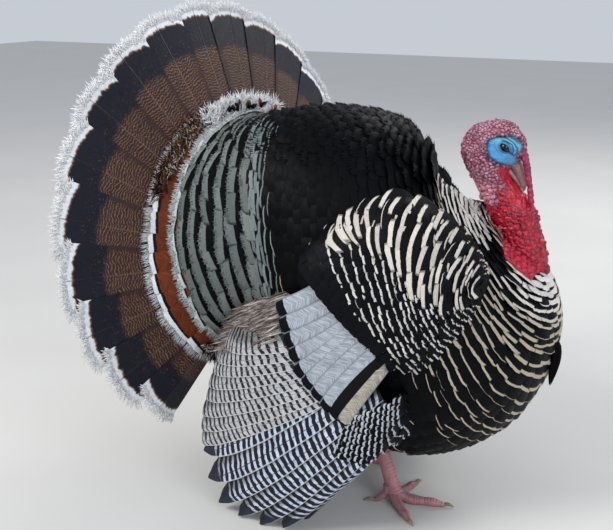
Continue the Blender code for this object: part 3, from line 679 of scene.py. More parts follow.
def barred_material(name, primaries):
    """Flight feathers: dark and pale bars, darker tips, pale shafts."""
    m = Nodes(name)
    d, c, ac, u, v, rnd, barbs, soft = feather_coords(m)
    salt = m.math("MULTIPLY", rnd, 29.0)
    wavy = m.noise(m.vec(m.math("MULTIPLY", d, 55.0), m.math("MULTIPLY", c, 60.0), salt), 1.0, 2.0, 0.5)
    pitch = 0.0128 if primaries else 0.0112
    bend = m.math("MULTIPLY_ADD", c, 0.30 if primaries else -0.16, m.math("MULTIPLY", wavy, 0.010))
    phase = m.math("MULTIPLY_ADD", m.math("ADD", d, bend), 2 * PI / pitch, m.math("MULTIPLY", rnd, 6.3))
    bars = m.math("SINE", phase)
    bars = m.math("ADD", bars, m.math("MULTIPLY", m.math("SUBTRACT", barbs, 0.5), 0.5))
    if primaries:
        white = m.step(m.math("MULTIPLY_ADD", m.math("SUBTRACT", wavy, 0.5), 0.9, bars), 0.18, 0.40)
        pale = m.mix(soft, srgb(142, 154, 182), srgb(220, 227, 240))
        dark = m.mix(soft, srgb(6, 7, 14), srgb(20, 24, 40))
        tip = m.step(m.math("MULTIPLY_ADD", wavy, 0.014, d), 0.040, 0.031)
        tip_col = m.mix(soft, srgb(14, 16, 26), srgb(44, 48, 64))
    else:
        white = m.step(m.math("MULTIPLY_ADD", m.math("SUBTRACT", wavy, 0.5), 1.1, bars), -0.46, -0.20)
        pale = m.mix(soft, srgb(138, 141, 146), srgb(204, 206, 208))
        dark = m.mix(soft, srgb(12, 12, 14), srgb(36, 34, 36))
        tip = m.step(m.math("MULTIPLY_ADD", wavy, 0.012, d), 0.010, 0.004)
        tip_col = m.mix(soft, srgb(120, 116, 112), srgb(60, 58, 58))
    col = m.mix(white, dark, pale)
    col = m.mix(tip, col, tip_col)
    # a pale outer edge on the upper side, shade where the neighbour lies over the vane
    edge = m.step(u, 0.90, 0.95)
    col = m.mix(m.math("MULTIPLY", edge, 0.75), col, srgb(190, 196, 206) if primaries else srgb(206, 206, 206))
    shaft = m.step(m.math("ABSOLUTE", m.math("SUBTRACT", u, 0.42)), 0.040, 0.014)
    col = m.mix(m.math("MULTIPLY", shaft, 0.85), col, srgb(34, 34, 44) if primaries else srgb(120, 120, 124))
    shade = m.span(u, -0.38, 0.10, 0.34, 1.0) if primaries else m.span(u, -0.26, 0.16, 0.42, 1.0)
    k = m.math("MULTIPLY", m.span(barbs, 0.25, 0.75, 0.80, 1.10), shade)
    col = m.mix(1.0, col, m.vec(k, k, k), "MULTIPLY")
    m.bump(m.math("ADD", barbs, m.math("MULTIPLY", shaft, 1.6)), 0.0006, 0.5)
    r = m.span(soft, 0.3, 0.7, 0.40, 0.55)
    return m.finish(col, r, Sheen_Weight=0.03, Specular_IOR_Level=0.25)


def down_material(name, a, b, rough=0.8):
    m = Nodes(name)
    geo = m.node("ShaderNodeTexCoord").outputs["Object"]
    n1 = m.noise(geo, 160.0, 4.0, 0.65)
    n2 = m.noise(geo, 24.0, 2.0, 0.5)
    col = m.mix(n1, a, b)
    k = m.span(n2, 0.3, 0.7, 0.7, 1.2)
    col = m.mix(1.0, col, m.vec(k, k, k), "MULTIPLY")
    m.bump(n1, 0.0015, 0.8)
    return m.finish(col, m.span(n2, 0.3, 0.7, rough - 0.08, rough + 0.08), Specular_IOR_Level=0.25)


def skin_material():
    """Bare skin: colour and creases come with the mesh; the nodes add pores, mottling, veins and painted shade in the
    creases.
    """
    m = Nodes("turkey_skin")
    geo = m.node("ShaderNodeTexCoord").outputs["Object"]
    tint = m.attr("c1", "Color")
    bare, crease_shade, wet = m.xyz(m.attr("fw"))        # bare skin share, crease depth, moisture
    pores = m.noise(geo, 950.0, 3.0, 0.6)
    blotch = m.noise(geo, 210.0, 3.0, 0.55)
    vein = m.noise(geo, 420.0, 2.0, 0.5, 1.2)
    col = m.mix(m.math("MULTIPLY", m.step(blotch, 0.50, 0.68), 0.35), tint, m.mix(1.0, tint, (1.5, 1.35, 1.45), "MULTIPLY"))
    col = m.mix(m.math("MULTIPLY", m.step(vein, 0.42, 0.34), 0.35), col, m.mix(1.0, col, (0.55, 0.40, 0.50), "MULTIPLY"))
    # painted shade: creases darkened by their depth, carried in fw's second value
    col = m.mix(m.math("MULTIPLY", crease_shade, 0.84), col, m.mix(1.0, col, (0.30, 0.16, 0.22), "MULTIPLY"))
    k = m.span(pores, 0.3, 0.7, 0.88, 1.10)
    col = m.mix(1.0, col, m.vec(k, k, k), "MULTIPLY")
    m.bump(m.math("MULTIPLY_ADD", blotch, 0.7, pores), 0.0004, 0.55)
    r = m.span(m.math("MULTIPLY_ADD", pores, 0.3, m.math("MULTIPLY", wet, -0.22)), -0.1, 0.4, 0.26, 0.62)
    m.finish(col, r, Specular_IOR_Level=0.5)
    m.bsdf.inputs["Subsurface Weight"].default_value = 0.12
    m.bsdf.inputs["Subsurface Radius"].default_value = (0.004, 0.0015, 0.001)
    m.bsdf.inputs["Subsurface Scale"].default_value = 0.6
    return m.mat


def horn_material(name, a, b, rough=0.38):
    m = Nodes(name)
    geo = m.node("ShaderNodeTexCoord").outputs["Object"]
    x, y, z = m.xyz(geo)
    grain = m.noise(m.vec(m.math("MULTIPLY", x, 900.0), m.math("MULTIPLY", y, 900.0), m.math("MULTIPLY", z, 260.0)), 1.0, 3.0, 0.6)
    soft = m.noise(geo, 160.0, 2.0, 0.5)
    col = m.mix(soft, a, b)
    k = m.span(grain, 0.3, 0.7, 0.80, 1.12)
    col = m.mix(1.0, col, m.vec(k, k, k), "MULTIPLY")
    m.bump(grain, 0.0003, 0.5)
    return m.finish(col, m.span(grain, 0.3, 0.7, rough - 0.06, rough + 0.12), Specular_IOR_Level=0.5)


def eye_material():
    m = Nodes("turkey_eye")
    ring, _, _ = m.xyz(m.attr("fa"))            # distance from the pupil's middle, in eye radii
    geo = m.node("ShaderNodeTexCoord").outputs["Object"]
    streak = m.noise(geo, 1500.0, 3.0, 0.6)
    iris = m.mix(streak, srgb(10, 10, 22), srgb(30, 26, 40))
    col = m.mix(m.step(ring, 0.40, 0.36), iris, (0.002, 0.002, 0.002))
    col = m.mix(m.step(ring, 0.66, 0.74), col, srgb(12, 12, 26))
    m.finish(col, m.span(streak, 0.3, 0.7, 0.04, 0.08), Specular_IOR_Level=0.28)
    m.bsdf.inputs["Coat Weight"].default_value = 0.15
    m.bsdf.inputs["Coat Roughness"].default_value = 0.03
    return m.mat


def floor_material():
    m = Nodes("floor_pale")
    geo = m.node("ShaderNodeTexCoord").outputs["Object"]
    n = m.noise(geo, 3.0, 3.0, 0.5)
    col = m.mix(n, (0.60, 0.59, 0.57), (0.66, 0.655, 0.64))
    return m.finish(col, m.span(n, 0.3, 0.7, 0.75, 0.85), Specular_IOR_Level=0.2)


# ================================================================ camera, floor and light
def make_camera():
    data = bpy.data.cameras.new("camera")
    data.lens, data.sensor_width, data.sensor_fit = 58.728, 36.0, "HORIZONTAL"
    cam = bpy.data.objects.new("camera", data)
    cam.location = (0.671408, -1.460814, 0.85)
    cam.rotation_euler = (math.radians(73.828), 0, math.radians(28))
    bpy.context.scene.collection.objects.link(cam)
    bpy.context.scene.camera = cam


def make_stage():
    me = bpy.data.meshes.new("floor")
    s = 9.0
    me.from_pydata([(-s, -s, 0), (s, -s, 0), (s, s, 0), (-s, s, 0)], [], [(0, 1, 2, 3)])
    me.materials.append(floor_material())
    floor = bpy.data.objects.new("floor", me)
    bpy.context.scene.collection.objects.link(floor)
    world = bpy.data.worlds.new("studio")
    world.use_nodes = True
    bg = world.node_tree.nodes["Background"]
    bg.inputs["Color"].default_value = (0.86, 0.91, 1.0, 1.0)
    bg.inputs["Strength"].default_value = 0.66
    bpy.context.scene.world = world

    def lamp(name, at, to, size, power, colour):
        data = bpy.data.lights.new(name, "AREA")
        data.shape, data.size, data.energy, data.color = "DISK", size, power, colour
        ob = bpy.data.objects.new(name, data)
        ob.location = at
        ob.rotation_euler = (Vector(to) - Vector(at)).to_track_quat("-Z", "Y").to_euler()
        bpy.context.scene.collection.objects.link(ob)

    lamp("key", (-1.6, -2.6, 2.9), (0, 0, 0.4), 1.6, 95, (1.0, 0.97, 0.93))
    lamp("fill", (2.6, -1.7, 1.6), (0.1, 0, 0.4), 2.0, 38, (0.92, 0.96, 1.0))
    lamp("rim", (0.8, 2.6, 2.6), (0, 0, 0.4), 1.8, 55, (1.0, 0.98, 0.95))


# ================================================================ tail fan
def tail_grid(phi, half, rows, cols, r0, tip_drop, layer, lift, notch=None):
    """Front grids of quills on the fan. phi (N,), half: angular half width."""
    u = np.linspace(-1, 1, cols + 1)
    v = rows
    n = len(phi)
    ph = phi[:, None, None] + half * u[None, None, :] * np.ones((1, len(v), 1))
    full = tail_length(phi)[:, None, None]
    tip = full * (1 - tip_drop * np.abs(u)[None, None, :] ** 2.6)
    if notch is not None:
        tip = tip + notch[:, None, :]
    r = r0 + (tip - r0) * v[None, :, None]
    toward = -np.sign(phi)[:, None, None]
    toward[np.abs(phi) < 0.12] = 0.0
    off = lift + layer * toward * u[None, None, :] - 0.0012 * (u**2)[None, None, :] * np.where(toward == 0, 1.0, 0.3)
    off = off + 0 * r
    P = tail_point(r, ph, off)
    N = tail_point(r, ph, off + 0.001) - P
    d = (1 - v)[None, :, None] * (full - r0) + 0 * r
    return {"P": P, "N": unit(N), "d": d, "c": r * half * u[None, None, :], "u": u[None, None, :] + 0 * r, "v": v[None, :, None] + 0 * r, "n": n}


def make_fan():
    rng = np.random.default_rng(11)
    step = (TAIL_TO - TAIL_FROM) / TAIL_FEATHERS
    k = np.arange(TAIL_FEATHERS)
    phi = TAIL_FROM + (k + 0.5) * step
    v = np.array([0, .08, .16, .24, .32, .40, .48, .56, .64, .72, .78, .84, .88, .915, .94, .96, .975, .988, 1.0])
    notch = rng.uniform(-0.0035, 0.0, (TAIL_FEATHERS, 33))
    f = tail_grid(phi, step * 0.63, v, 32, 0.045, 0.024, 0.0011, 0.0004, notch)
    place = np.stack([(k + 0.5) / 18, np.full(18, 0.5)], 1)
    island = np.stack([(k + 0.06) / 18, np.full(18, 0.02), (k + 0.94) / 18, np.full(18, 0.98)], 1)
    coat = Coat("tail_quills", [fan_material("tail_quill"), contour_material("tail_fringe", ragged=0.001)], "tail_feather")
    coat.vanes(f, place, thick=0.0012, island=island, seed=3)
    # the white fringe of loose barbs
    n = 190
    for i in k:
        u = np.sort(rng.uniform(-0.97, 0.97, n))
        full = tail_length(phi[i])
        r = full * (1 - 0.024 * np.abs(u) ** 2.6) - rng.uniform(0.004, 0.011, n)
        ph = phi[i] + step * 0.63 * u
        off = 0.0010 + 0.0012 * rng.random(n)
        base = tail_point(r, ph, off)
        out = unit(tail_point(r + 0.01, ph + 0.03 * u + rng.normal(0, 0.015, n), off) - base)
        normal = tail_point(r, ph, off + 0.001) - base
        length = rng.uniform(0.011, 0.020, n) * (0.75 + 0.25 * (1 - u**2))
        tone = rng.uniform(0.92, 1.0, (n, 1))
        spot = np.stack([(i + 0.5 + 0.4 * u) / 18, np.full(n, 0.985)], 1)
        coat.hairs(base, out, unit(normal), length, rng.uniform(0.0011, 0.0025, n), spot, srgb(250, 251, 252) * tone, bend=rng.normal(0, 0.0015, n), mat=1)
    return coat.build()


# ================================================================ the body's chart and its feathers
ANG = 240
TR_ROWS, CV_ROWS = 111, 48


def body_chart():
    angles = np.arange(ANG) * 2 * PI / ANG
    rows = [trunk_ring(r, angles) for r in smooth_through(TRUNK, TR_ROWS)]
    phis = np.where(angles <= PI, angles, angles - 2 * PI)
    rim = tail_point(covert_length(phis), phis, 0.0085)
    start = rows[-1]
    out = start - TAIL_BASE
    reach = np.hypot(out @ TAIL_U, out @ TAIL_V)
    knee = tail_point(0.46 * (reach + covert_length(phis)), phis, 0.034)
    for t in np.linspace(0, 1, CV_ROWS + 1)[1:]:
        rows.append((1 - t) ** 2 * start + 2 * t * (1 - t) * knee + t * t * rim)
    return Chart(np.array(rows), True)


TOTAL_ROWS = TR_ROWS + CV_ROWS - 1


def a_station(q):
    """Chart row of a station; 0 is the neck ring, 1 the collar, 11 the rump."""
    return np.asarray(q, float) / (len(TRUNK) - 1) * (TR_ROWS - 1) / TOTAL_ROWS


def a_covert(t):
    return (TR_ROWS - 1 + CV_ROWS * np.asarray(t, float)) / TOTAL_ROWS


def lobe_reach(x, z):
    """How far out the shoulder lobe reaches at (x, z), or 0 outside it."""
    s = np.asarray(SHOULDER)
    top, low, bulge = (np.interp(x, s[:, 0], s[:, i], left=np.nan, right=np.nan) for i in (1, 2, 3))
    t = np.abs((z - (top + low) / 2) / ((top - low) / 2))
    with np.errstate(invalid="ignore"):
        y = 0.148 + bulge * np.maximum(1 - t**2.1, 0) ** (1 / 2.1)
    return np.where((t < 1) & np.isfinite(y), y, 0.0)


def ring_row(ch, a, width, share, phase, rng, shake=0.12):
    """Even places round the chart's ring at a, by true length."""
    b = np.linspace(0, 1, 721)
    p = ch.at(np.full(721, a), b)[0]
    s = np.concatenate([[0], np.cumsum(np.linalg.norm(np.diff(p, axis=0), axis=1))])
    n = max(6, int(round(s[-1] / (width * share))))
    at = (np.arange(n) + phase + rng.uniform(-shake, shake, n)) / n % 1
    return np.interp(at * s[-1], s, b) % 1


def step_between(x, lo, hi):
    t = np.clip((np.asarray(x, float) - lo) / (hi - lo), 0, 1)
    return t * t * (3 - 2 * t)


ROW_AT, ROW_STEP = [0.7, 1.5, 2.4, 3.2, 4.5, 6.0, 8.0, 11.0], [0.25, 0.29, 0.29, 0.28, 0.30, 0.24, 0.22, 0.25]
COLLAR_AT, COLLAR = [0, 1.2, 1.4, 1.55, 1.7, 2.45, 2.85, PI], [0.72, 0.72, 1.05, 1.50, 1.80, 1.75, 1.30, 1.05]   # where the feathers begin, by angle


def body_feathers(ch):
    rng = np.random.default_rng(21)
    black = contour_material("contour_feather")
    right, left = Coat("coat_right", black, "body_feather"), Coat("coat_left", black, "body_feather")
    fringe = []
    rows = []
    q = 0.75
    while q < 11.0:
        rows.append(("trunk", q))
        q += np.interp(q, ROW_AT, ROW_STEP)
    t = 0.03
    while t < 0.70:
        rows.append(("covert", t))
        t += 0.128
    rows += [("rowB", 0.745), ("rowA", 1.055)]
    phase = 0.0
    for i, (kind, pos) in enumerate(rows):
        a0 = float(a_station(pos) if kind == "trunk" else a_covert(pos))
        if kind == "trunk":
            width = np.interp(pos, [0.7, 1.5, 3.0, 4.5, 7.0, 9.0, 11.0], [0.024, 0.028, 0.044, 0.052, 0.042, 0.040, 0.054])
            share = np.interp(pos, [0.7, 3.0, 11.0], [0.62, 0.68, 0.72])
        else:
            width, share = (0.058, 0.74) if kind == "covert" else (0.044, 0.66) if kind == "rowB" else (0.047, 0.70)
        phase = (phase + 0.5 + rng.uniform(-0.1, 0.1)) % 1
        b = ring_row(ch, min(a0, 1.0), width, share, phase, rng)
        n = len(b)
        theta = np.abs(np.where(b > 0.5, b - 1, b)) * 2 * PI      # 0 is the back line, pi the belly
        wave = NOISE(np.stack([np.full(n, pos * 1.7), b * 9, np.full(n, 2.0)], -1), 1.0, 1)
        spacing = 0.13
        shake = 0.14 * float(a_station(ROW_STEP[3]))
        a = a0 + np.clip(rng.normal(0, shake, n), -2 * shake, 2 * shake) + (0.0022 * wave if kind == "trunk" else 0.0)
        P0, _, ta, _ = ch.at(a, b)
        speed = np.linalg.norm(ta, axis=1)
        if kind == "trunk":
            nxt = a_station(pos + np.interp(pos, ROW_AT, ROW_STEP)) - a0
        else:
            nxt = 0.128 * CV_ROWS / TOTAL_ROWS
        gap = speed * nxt
        length = np.clip(2.3 * gap + 0.016, 0.026, 0.060)
        start = np.interp(theta, COLLAR_AT, COLLAR)
        wid = np.full(n, width) * rng.uniform(0.92, 1.08, n)
        turn = rng.normal(0, 0.085, n)
        high = rng.uniform(-0.0006, 0.0016, n)
        w = np.zeros((n, 3))
        c1 = np.tile(srgb(215, 200, 175), (n, 1))
        c0 = np.tile(srgb(5, 6, 9), (n, 1))
        c3 = c0.copy()
        tip, drop, jag, nu, nv = 0.90, 0.035, 0.0010, 8, 6
        low = np.full(n, -0.0085)
        if kind == "trunk":
            # cape and collar: white streaks, close together
            nape = 1 - step_between(theta, 0.70, 1.30)
            cape = 1 - step_between(pos - 1.15 * nape, 2.6, 3.9)
            back_black = np.maximum((1 - step_between(theta, 0.75, 1.15)) * step_between(pos, 4.35, 4.75), (1 - step_between(theta, 1.35, 1.60)) * step_between(pos, 4.9, 5.3))
            breast = step_between(pos, 1.6, 3.0) * (1 - step_between(pos + 0.9 * step_between(theta, 1.9, 1.2), 5.9, 7.2))
            pale = np.maximum(cape, breast) * (1 - back_black)
            belly_fade = step_between(theta, 2.3, 3.0) * step_between(pos, 6.0, 7.2)
            band = np.clip(gap * np.interp(pos, [0.7, 1.6, 3.0, 4.5, 6.5], [0.70, 0.60, 0.48, 0.38, 0.33]), 0.0026, 0.0070) * rng.uniform(0.62, 1.12, n)
            capes = (1 - step_between(pos - 0.5 * nape, 1.9, 3.4)) * (1 - step_between(theta, 1.30, 1.60))
            capes = np.maximum(capes, 0.8 * (1 - step_between(pos, 2.0, 2.7)) * step_between(theta, 1.72, 1.92))
            band = band * (1 - capes) + capes * np.minimum(gap * 1.05, 0.020) * rng.uniform(0.70, 1.15, n)
            w1 = band * pale * (1 - belly_fade)
            w1 = np.where(pale < rng.uniform(0.05, 0.6, n), 0.0, w1)
            under = step_between(theta, 1.7, 2.1) * step_between(pos, 4.5, 5.8) * (1 - 0.5 * step_between(theta, 2.5, 2.9))
            w1 = w1 * (1 - 0.45 * under)
            w1 = np.where(rng.random(n) < 0.07 + 0.30 * under, w1 * 0.2, w1)
            fleck = (rng.random(n) < 0.28) & (w1 < 0.001) & (theta > 2.0) & (pos > 4.6) & (pos < 9.5)
            w1 = np.where(fleck, rng.uniform(0.0012, 0.0028, n), w1)
            white = (1 - step_between(pos - 1.3 * nape, 2.2, 3.6))[:, None]
            c1 = srgb(222, 217, 212) * white + srgb(180, 169, 150) * (1 - white) * np.ones((n, 1))
            c1 = c1 * (1 - capes[:, None] * rng.uniform(0.0, 0.34, (n, 1)))
            tan = ((1 - step_between(np.abs(pos - 1.05), 0.30, 0.75)) * (1 - step_between(np.abs(theta - 1.15), 0.20, 0.42)))[:, None]
            c1 = c1 * (1 - 0.75 * tan) + srgb(142, 104, 78) * 0.75 * tan
            # painted shade: a hollow below the cape's lower corner, left dark by dropping its pale bands
            shaded_hollow = (np.abs(theta - 1.54) < 0.24) & (pos > 1.80) & (pos < 2.95)
            w1 = np.where(shaded_hollow, 0.0, w1)
            high = high + 0.0040 * (1 - step_between(pos, 1.5, 2.3)) * (1 - step_between(np.abs(theta - 1.22), 0.20, 0.40))
            # rump: grey bands that grow towards the tail
            grey = step_between(pos, 9.2, 10.6)
            if grey > 0:
                g = grey * step_between(theta, 0.12, 0.55) * (1 - 0.75 * step_between(theta, 1.55, 1.0) * (1 - grey))
                w1 = np.where((g > 0.30) | ((g > 0.1) & (rng.random(n) < 0.3)), np.maximum(w1, 0.0014 + 0.0050 * g**2), w1)
                c1 = np.where((g > 0.12)[:, None], srgb(118, 127, 128)[None] * rng.uniform(0.75, 1.15, (n, 1)), c1)
            w[:, 0] = w1
            # the mantle's tips stand out a little
            mantle = (1 - step_between(theta, 0.5, 1.0)) * step_between(pos, 4.3, 4.9)
            high = high + 0.0052 * mantle * rng.uniform(0.6, 1.1, n)
            high = high + 0.0085 * mantle * step_between(pos, 4.4, 5.1) * (1 - step_between(pos, 6.0, 7.2)) * rng.uniform(0.7, 1.1, n)
            wid = wid * (1 - 0.22 * mantle)
            c0 = c0 * (1 + 0.35 * wave[:, None])
            length = np.where(pos < 3.0, np.maximum(length, 0.030), length)
            room = (pos - start + 0.34) * speed * float(a_station(1.0))
            length = np.where(pos < start + 1.2, np.minimum(length, np.maximum(room, 0.011)), length)
            if pos < 2.6:
                tip, drop, nu = 0.80, 0.05, 6
        else:
            g = 1 - 0.95 * (1 - step_between(theta, 0.20, 0.75)) * (1 - step_between(pos, 0.15, 0.6))
            if kind == "covert":
                w[:, 0] = np.clip(gap * (0.44 + 0.16 * step_between(theta, 0.9, 1.5)), 0.003, 0.0150) * g * rng.uniform(0.88, 1.12, n)
                shade = rng.uniform(0.80, 1.18, (n, 1))
                c1 = (srgb(112, 119, 116) * (1 - step_between(theta, 1.6, 2.4))[:, None] + srgb(134, 136, 128) * step_between(theta, 1.6, 2.4)[:, None]) * shade
                top = (1 - step_between(theta, 0.30, 0.62))[:, None] * step_between(pos, 0.55, 0.8)
                c1 = c1 * (1 - top) + srgb(214, 216, 218) * top
                length = np.full(n, 0.050)
                high = high + 0.0022
            elif kind == "rowB":
                w[:, 0] = rng.uniform(0.0060, 0.0085, n)
                w[:, 1] = w[:, 0] + 0.0030
                w[:, 2] = w[:, 1] + rng.uniform(0.002, 0.006, n)
                c1 = np.tile(srgb(196, 200, 200), (n, 1)) * rng.uniform(0.85, 1.12, (n, 1))
                c3 = np.tile(srgb(120, 74, 48), (n, 1))
                length = np.full(n, 0.052)
                high = high + 0.0010
            else:
                w[:, 0] = rng.uniform(0.0070, 0.0100, n)
                w[:, 1] = w[:, 0] + rng.uniform(0.0030, 0.0055, n)
                w[:, 2] = w[:, 1] + rng.uniform(0.034, 0.042, n)
                rufous = step_between(NOISE(np.stack([b * 7, b * 0, b * 0], -1), 1.0, 1), -0.45, 0.1)[:, None]
                c1 = np.tile(srgb(222, 226, 230), (n, 1)) * rng.uniform(0.85, 1.08, (n, 1))
                c3 = srgb(112, 54, 30) * (0.60 + 0.40 * rufous) * rng.uniform(0.85, 1.15, (n, 1))
                length = np.full(n, 0.066)
                low = np.full(n, -0.0050)
                high = np.full(n, -0.0012) + rng.uniform(-0.0004, 0.0004, n)
            nu, nv, jag, tip, drop = 10, 7, 0.0014, 0.92, 0.012 if kind == "rowA" else 0.05
        roll = (0.0007 * np.where(np.arange(n) % 2 == 0, 1, -1)) + rng.normal(0, 0.0002, n)
        qx, qy, qz = P0[:, 0], np.abs(P0[:, 1]), P0[:, 2]
        on_left = P0[:, 1] > 0       # the left lobe is drawn back: look it up where it would be on the right
        fore = step_between(qx, -0.05, 0.03)
        qx, qz = np.where(on_left & (qx > 0.12), 0.12 + (qx - 0.12) * 2, qx), np.where(on_left & (qz > 0.40), 0.40 + (qz - 0.40) / (1 - 0.44 * fore), qz)
        hidden = (qy < lobe_reach(qx, qz) - 0.024) & (qy > 0.296 - lobe_reach(qx, qz) + 0.014) & (kind == "trunk")
        inner = (qy < lobe_reach(qx + 0.035, qz) - 0.012) & (qy < lobe_reach(qx - 0.035, qz) - 0.006)
        inner &= (qy < lobe_reach(qx, qz + 0.035) - 0.010) & (qy < lobe_reach(qx, qz - 0.03) - 0.004)
        keep_all = ~(hidden & inner)
        if kind == "trunk":
            keep_all &= pos >= start
        for coat, side in ((right, b >= 0.5), (left, b < 0.5)):
            k = np.flatnonzero(side & keep_all)
            if not len(k):
                continue
            vs = np.linspace(0, 1, nv + 1) ** 0.85
            f = lay(ch, a[k], b[k], length[k], wid[k], nu=nu, turn=turn[k], low=low[k], high=high[k], camber=0.0022, roll=roll[k],
                    drop=drop, tipw=tip, jag=jag, vs=vs, rng=rng)
            place = np.stack([b[k], np.clip(a[k] - length[k] / np.maximum(speed[k], 1e-3), 0, 1) * 0.96 + 0.02], 1)
            coat.vanes(f, place, w[k], c1[k], c3[k], c0[k], seed=i)
            if kind in ("covert", "rowB", "rowA"):
                per = {"covert": 20, "rowB": 40, "rowA": 46}[kind]
                fringe_of(coat, f, c1[k], per, {"covert": (0.0022, 0.0040), "rowB": (0.004, 0.009), "rowA": (0.009, 0.016)}[kind], place, rng, w[k, 0], rise=0.30 if kind == "rowA" else 0.0)
            elif pos > 3.2 and mantle.max() > 0.5:
                m = k[mantle[k] > 0.5]
                if len(m):
                    sel = np.isin(k, m)
                    g2 = {key: (val[sel] if isinstance(val, np.ndarray) else int(sel.sum())) for key, val in f.items()}
                    fringe_of(coat, g2, np.tile(srgb(10, 11, 16), (int(sel.sum()), 1)), 12, (0.003, 0.007), place[sel], rng, None)
    rim_tufts(right, left, rng)
    right.build()
    left.build()


def rim_tufts(right, left, rng):
    """Loose tufts where the coverts end: white ones along the top, brown barred ones beside them."""
    def tuft(n, lo, hi, reach, length, width, palette, spread, lift):
        phi = rng.uniform(lo, hi, n)
        r = covert_length(phi) - rng.uniform(*reach, n)
        off = 0.009 + rng.uniform(*lift, n)
        base = tail_point(r, phi, off)
        way = unit(tail_point(r + 0.02, phi + rng.normal(0, spread, n), off + rng.uniform(-0.002, 0.016, n)) - base)
        nrm = unit(tail_point(r, phi, off + 0.001) - base)
        pick = rng.integers(0, len(palette), n)
        col = np.array([srgb(*c) for c in palette])[pick] * rng.uniform(0.8, 1.05, (n, 1))
        b = phi / (2 * PI) % 1
        place = np.stack([b, np.full(n, 0.965)], 1)
        ln, wd, bend = rng.uniform(*length, n), rng.uniform(*width, n), rng.normal(0, 0.002, n)
        for coat, k in ((right, np.flatnonzero(phi <= 0)), (left, np.flatnonzero(phi > 0))):
            if len(k):
                coat.hairs(base[k], way[k], nrm[k], ln[k], wd[k], place[k], np.clip(col[k], 0, 1), bend=bend[k])

    tuft(1900, -0.20, 0.58, (-0.004, 0.026), (0.012, 0.028), (0.0014, 0.0030), [(248, 250, 252), (240, 244, 248), (252, 252, 252)], 0.14, (0.0, 0.012))
    tuft(13, -0.10, 0.48, (0.004, 0.014), (0.013, 0.018), (0.0080, 0.0110), [(14, 14, 18), (14, 14, 18), (134, 66, 36)], 0.10, (0.017, 0.020))
    tuft(620, -0.86, -0.10, (-0.006, 0.020), (0.014, 0.028), (0.0014, 0.0034), [(84, 58, 46), (58, 40, 34), (130, 98, 74), (40, 28, 26)], 0.13, (-0.002, 0.002))
    tuft(420, -0.70, -0.12, (0.000, 0.018), (0.010, 0.020), (0.0016, 0.0030), [(206, 200, 192), (104, 76, 58), (84, 58, 46)], 0.14, (0.002, 0.008))
    tuft(260, -2.36, -2.02, (-0.002, 0.020), (0.010, 0.020), (0.0020, 0.0040), [(232, 234, 236), (14, 14, 18), (134, 66, 36), (200, 200, 200)], 0.12, (0.0, 0.008))


def fringe_of(coat, f, colour, per, length, place, rng, band=None, width=(0.0008, 0.0016), rise=0.0):
    """Loose barbs beyond the tips of these vanes."""
    P, N = f["P"], f["N"]
    n, rows, cols = P.shape[:3]
    s = rng.uniform(0.02, 0.98, (n, per)) * (cols - 1)
    j = np.minimum(s.astype(int), cols - 2)
    g = (s - j)[..., None]
    ii = np.arange(n)[:, None]
    end = P[ii, -1, j] * (1 - g) + P[ii, -1, j + 1] * g
    prev = P[ii, -2, j] * (1 - g) + P[ii, -2, j + 1] * g
    nrm = N[ii, -1, j]
    side = P[ii, -1, j + 1] - P[ii, -1, j]
    way = unit(end - prev)
    spread = (s / (cols - 1) * 2 - 1)[..., None]
    way = unit(way + unit(side) * (0.28 * spread + rng.normal(0, 0.12, (n, per))[..., None]) + nrm * (rise + np.maximum(rng.normal(0.02, 0.10, (n, per)), -0.02))[..., None])
    base = end - way * 0.0035 + nrm * 0.0003
    L = rng.uniform(*length, (n, per)) + 0.0035
    tone = rng.uniform(0.75, 1.08, (n, per, 1))
    col = np.clip(colour[:, None, :] * tone, 0, 1)
    pl = np.repeat(place[:, None, :], per, 1) + np.array([0.0, 0.0012])
    coat.hairs(base.reshape(-1, 3), way.reshape(-1, 3), nrm.reshape(-1, 3), L.ravel(), rng.uniform(*width, n * per), pl.reshape(-1, 2), col.reshape(-1, 3),
               bend=rng.normal(0, 0.0008, n * per))


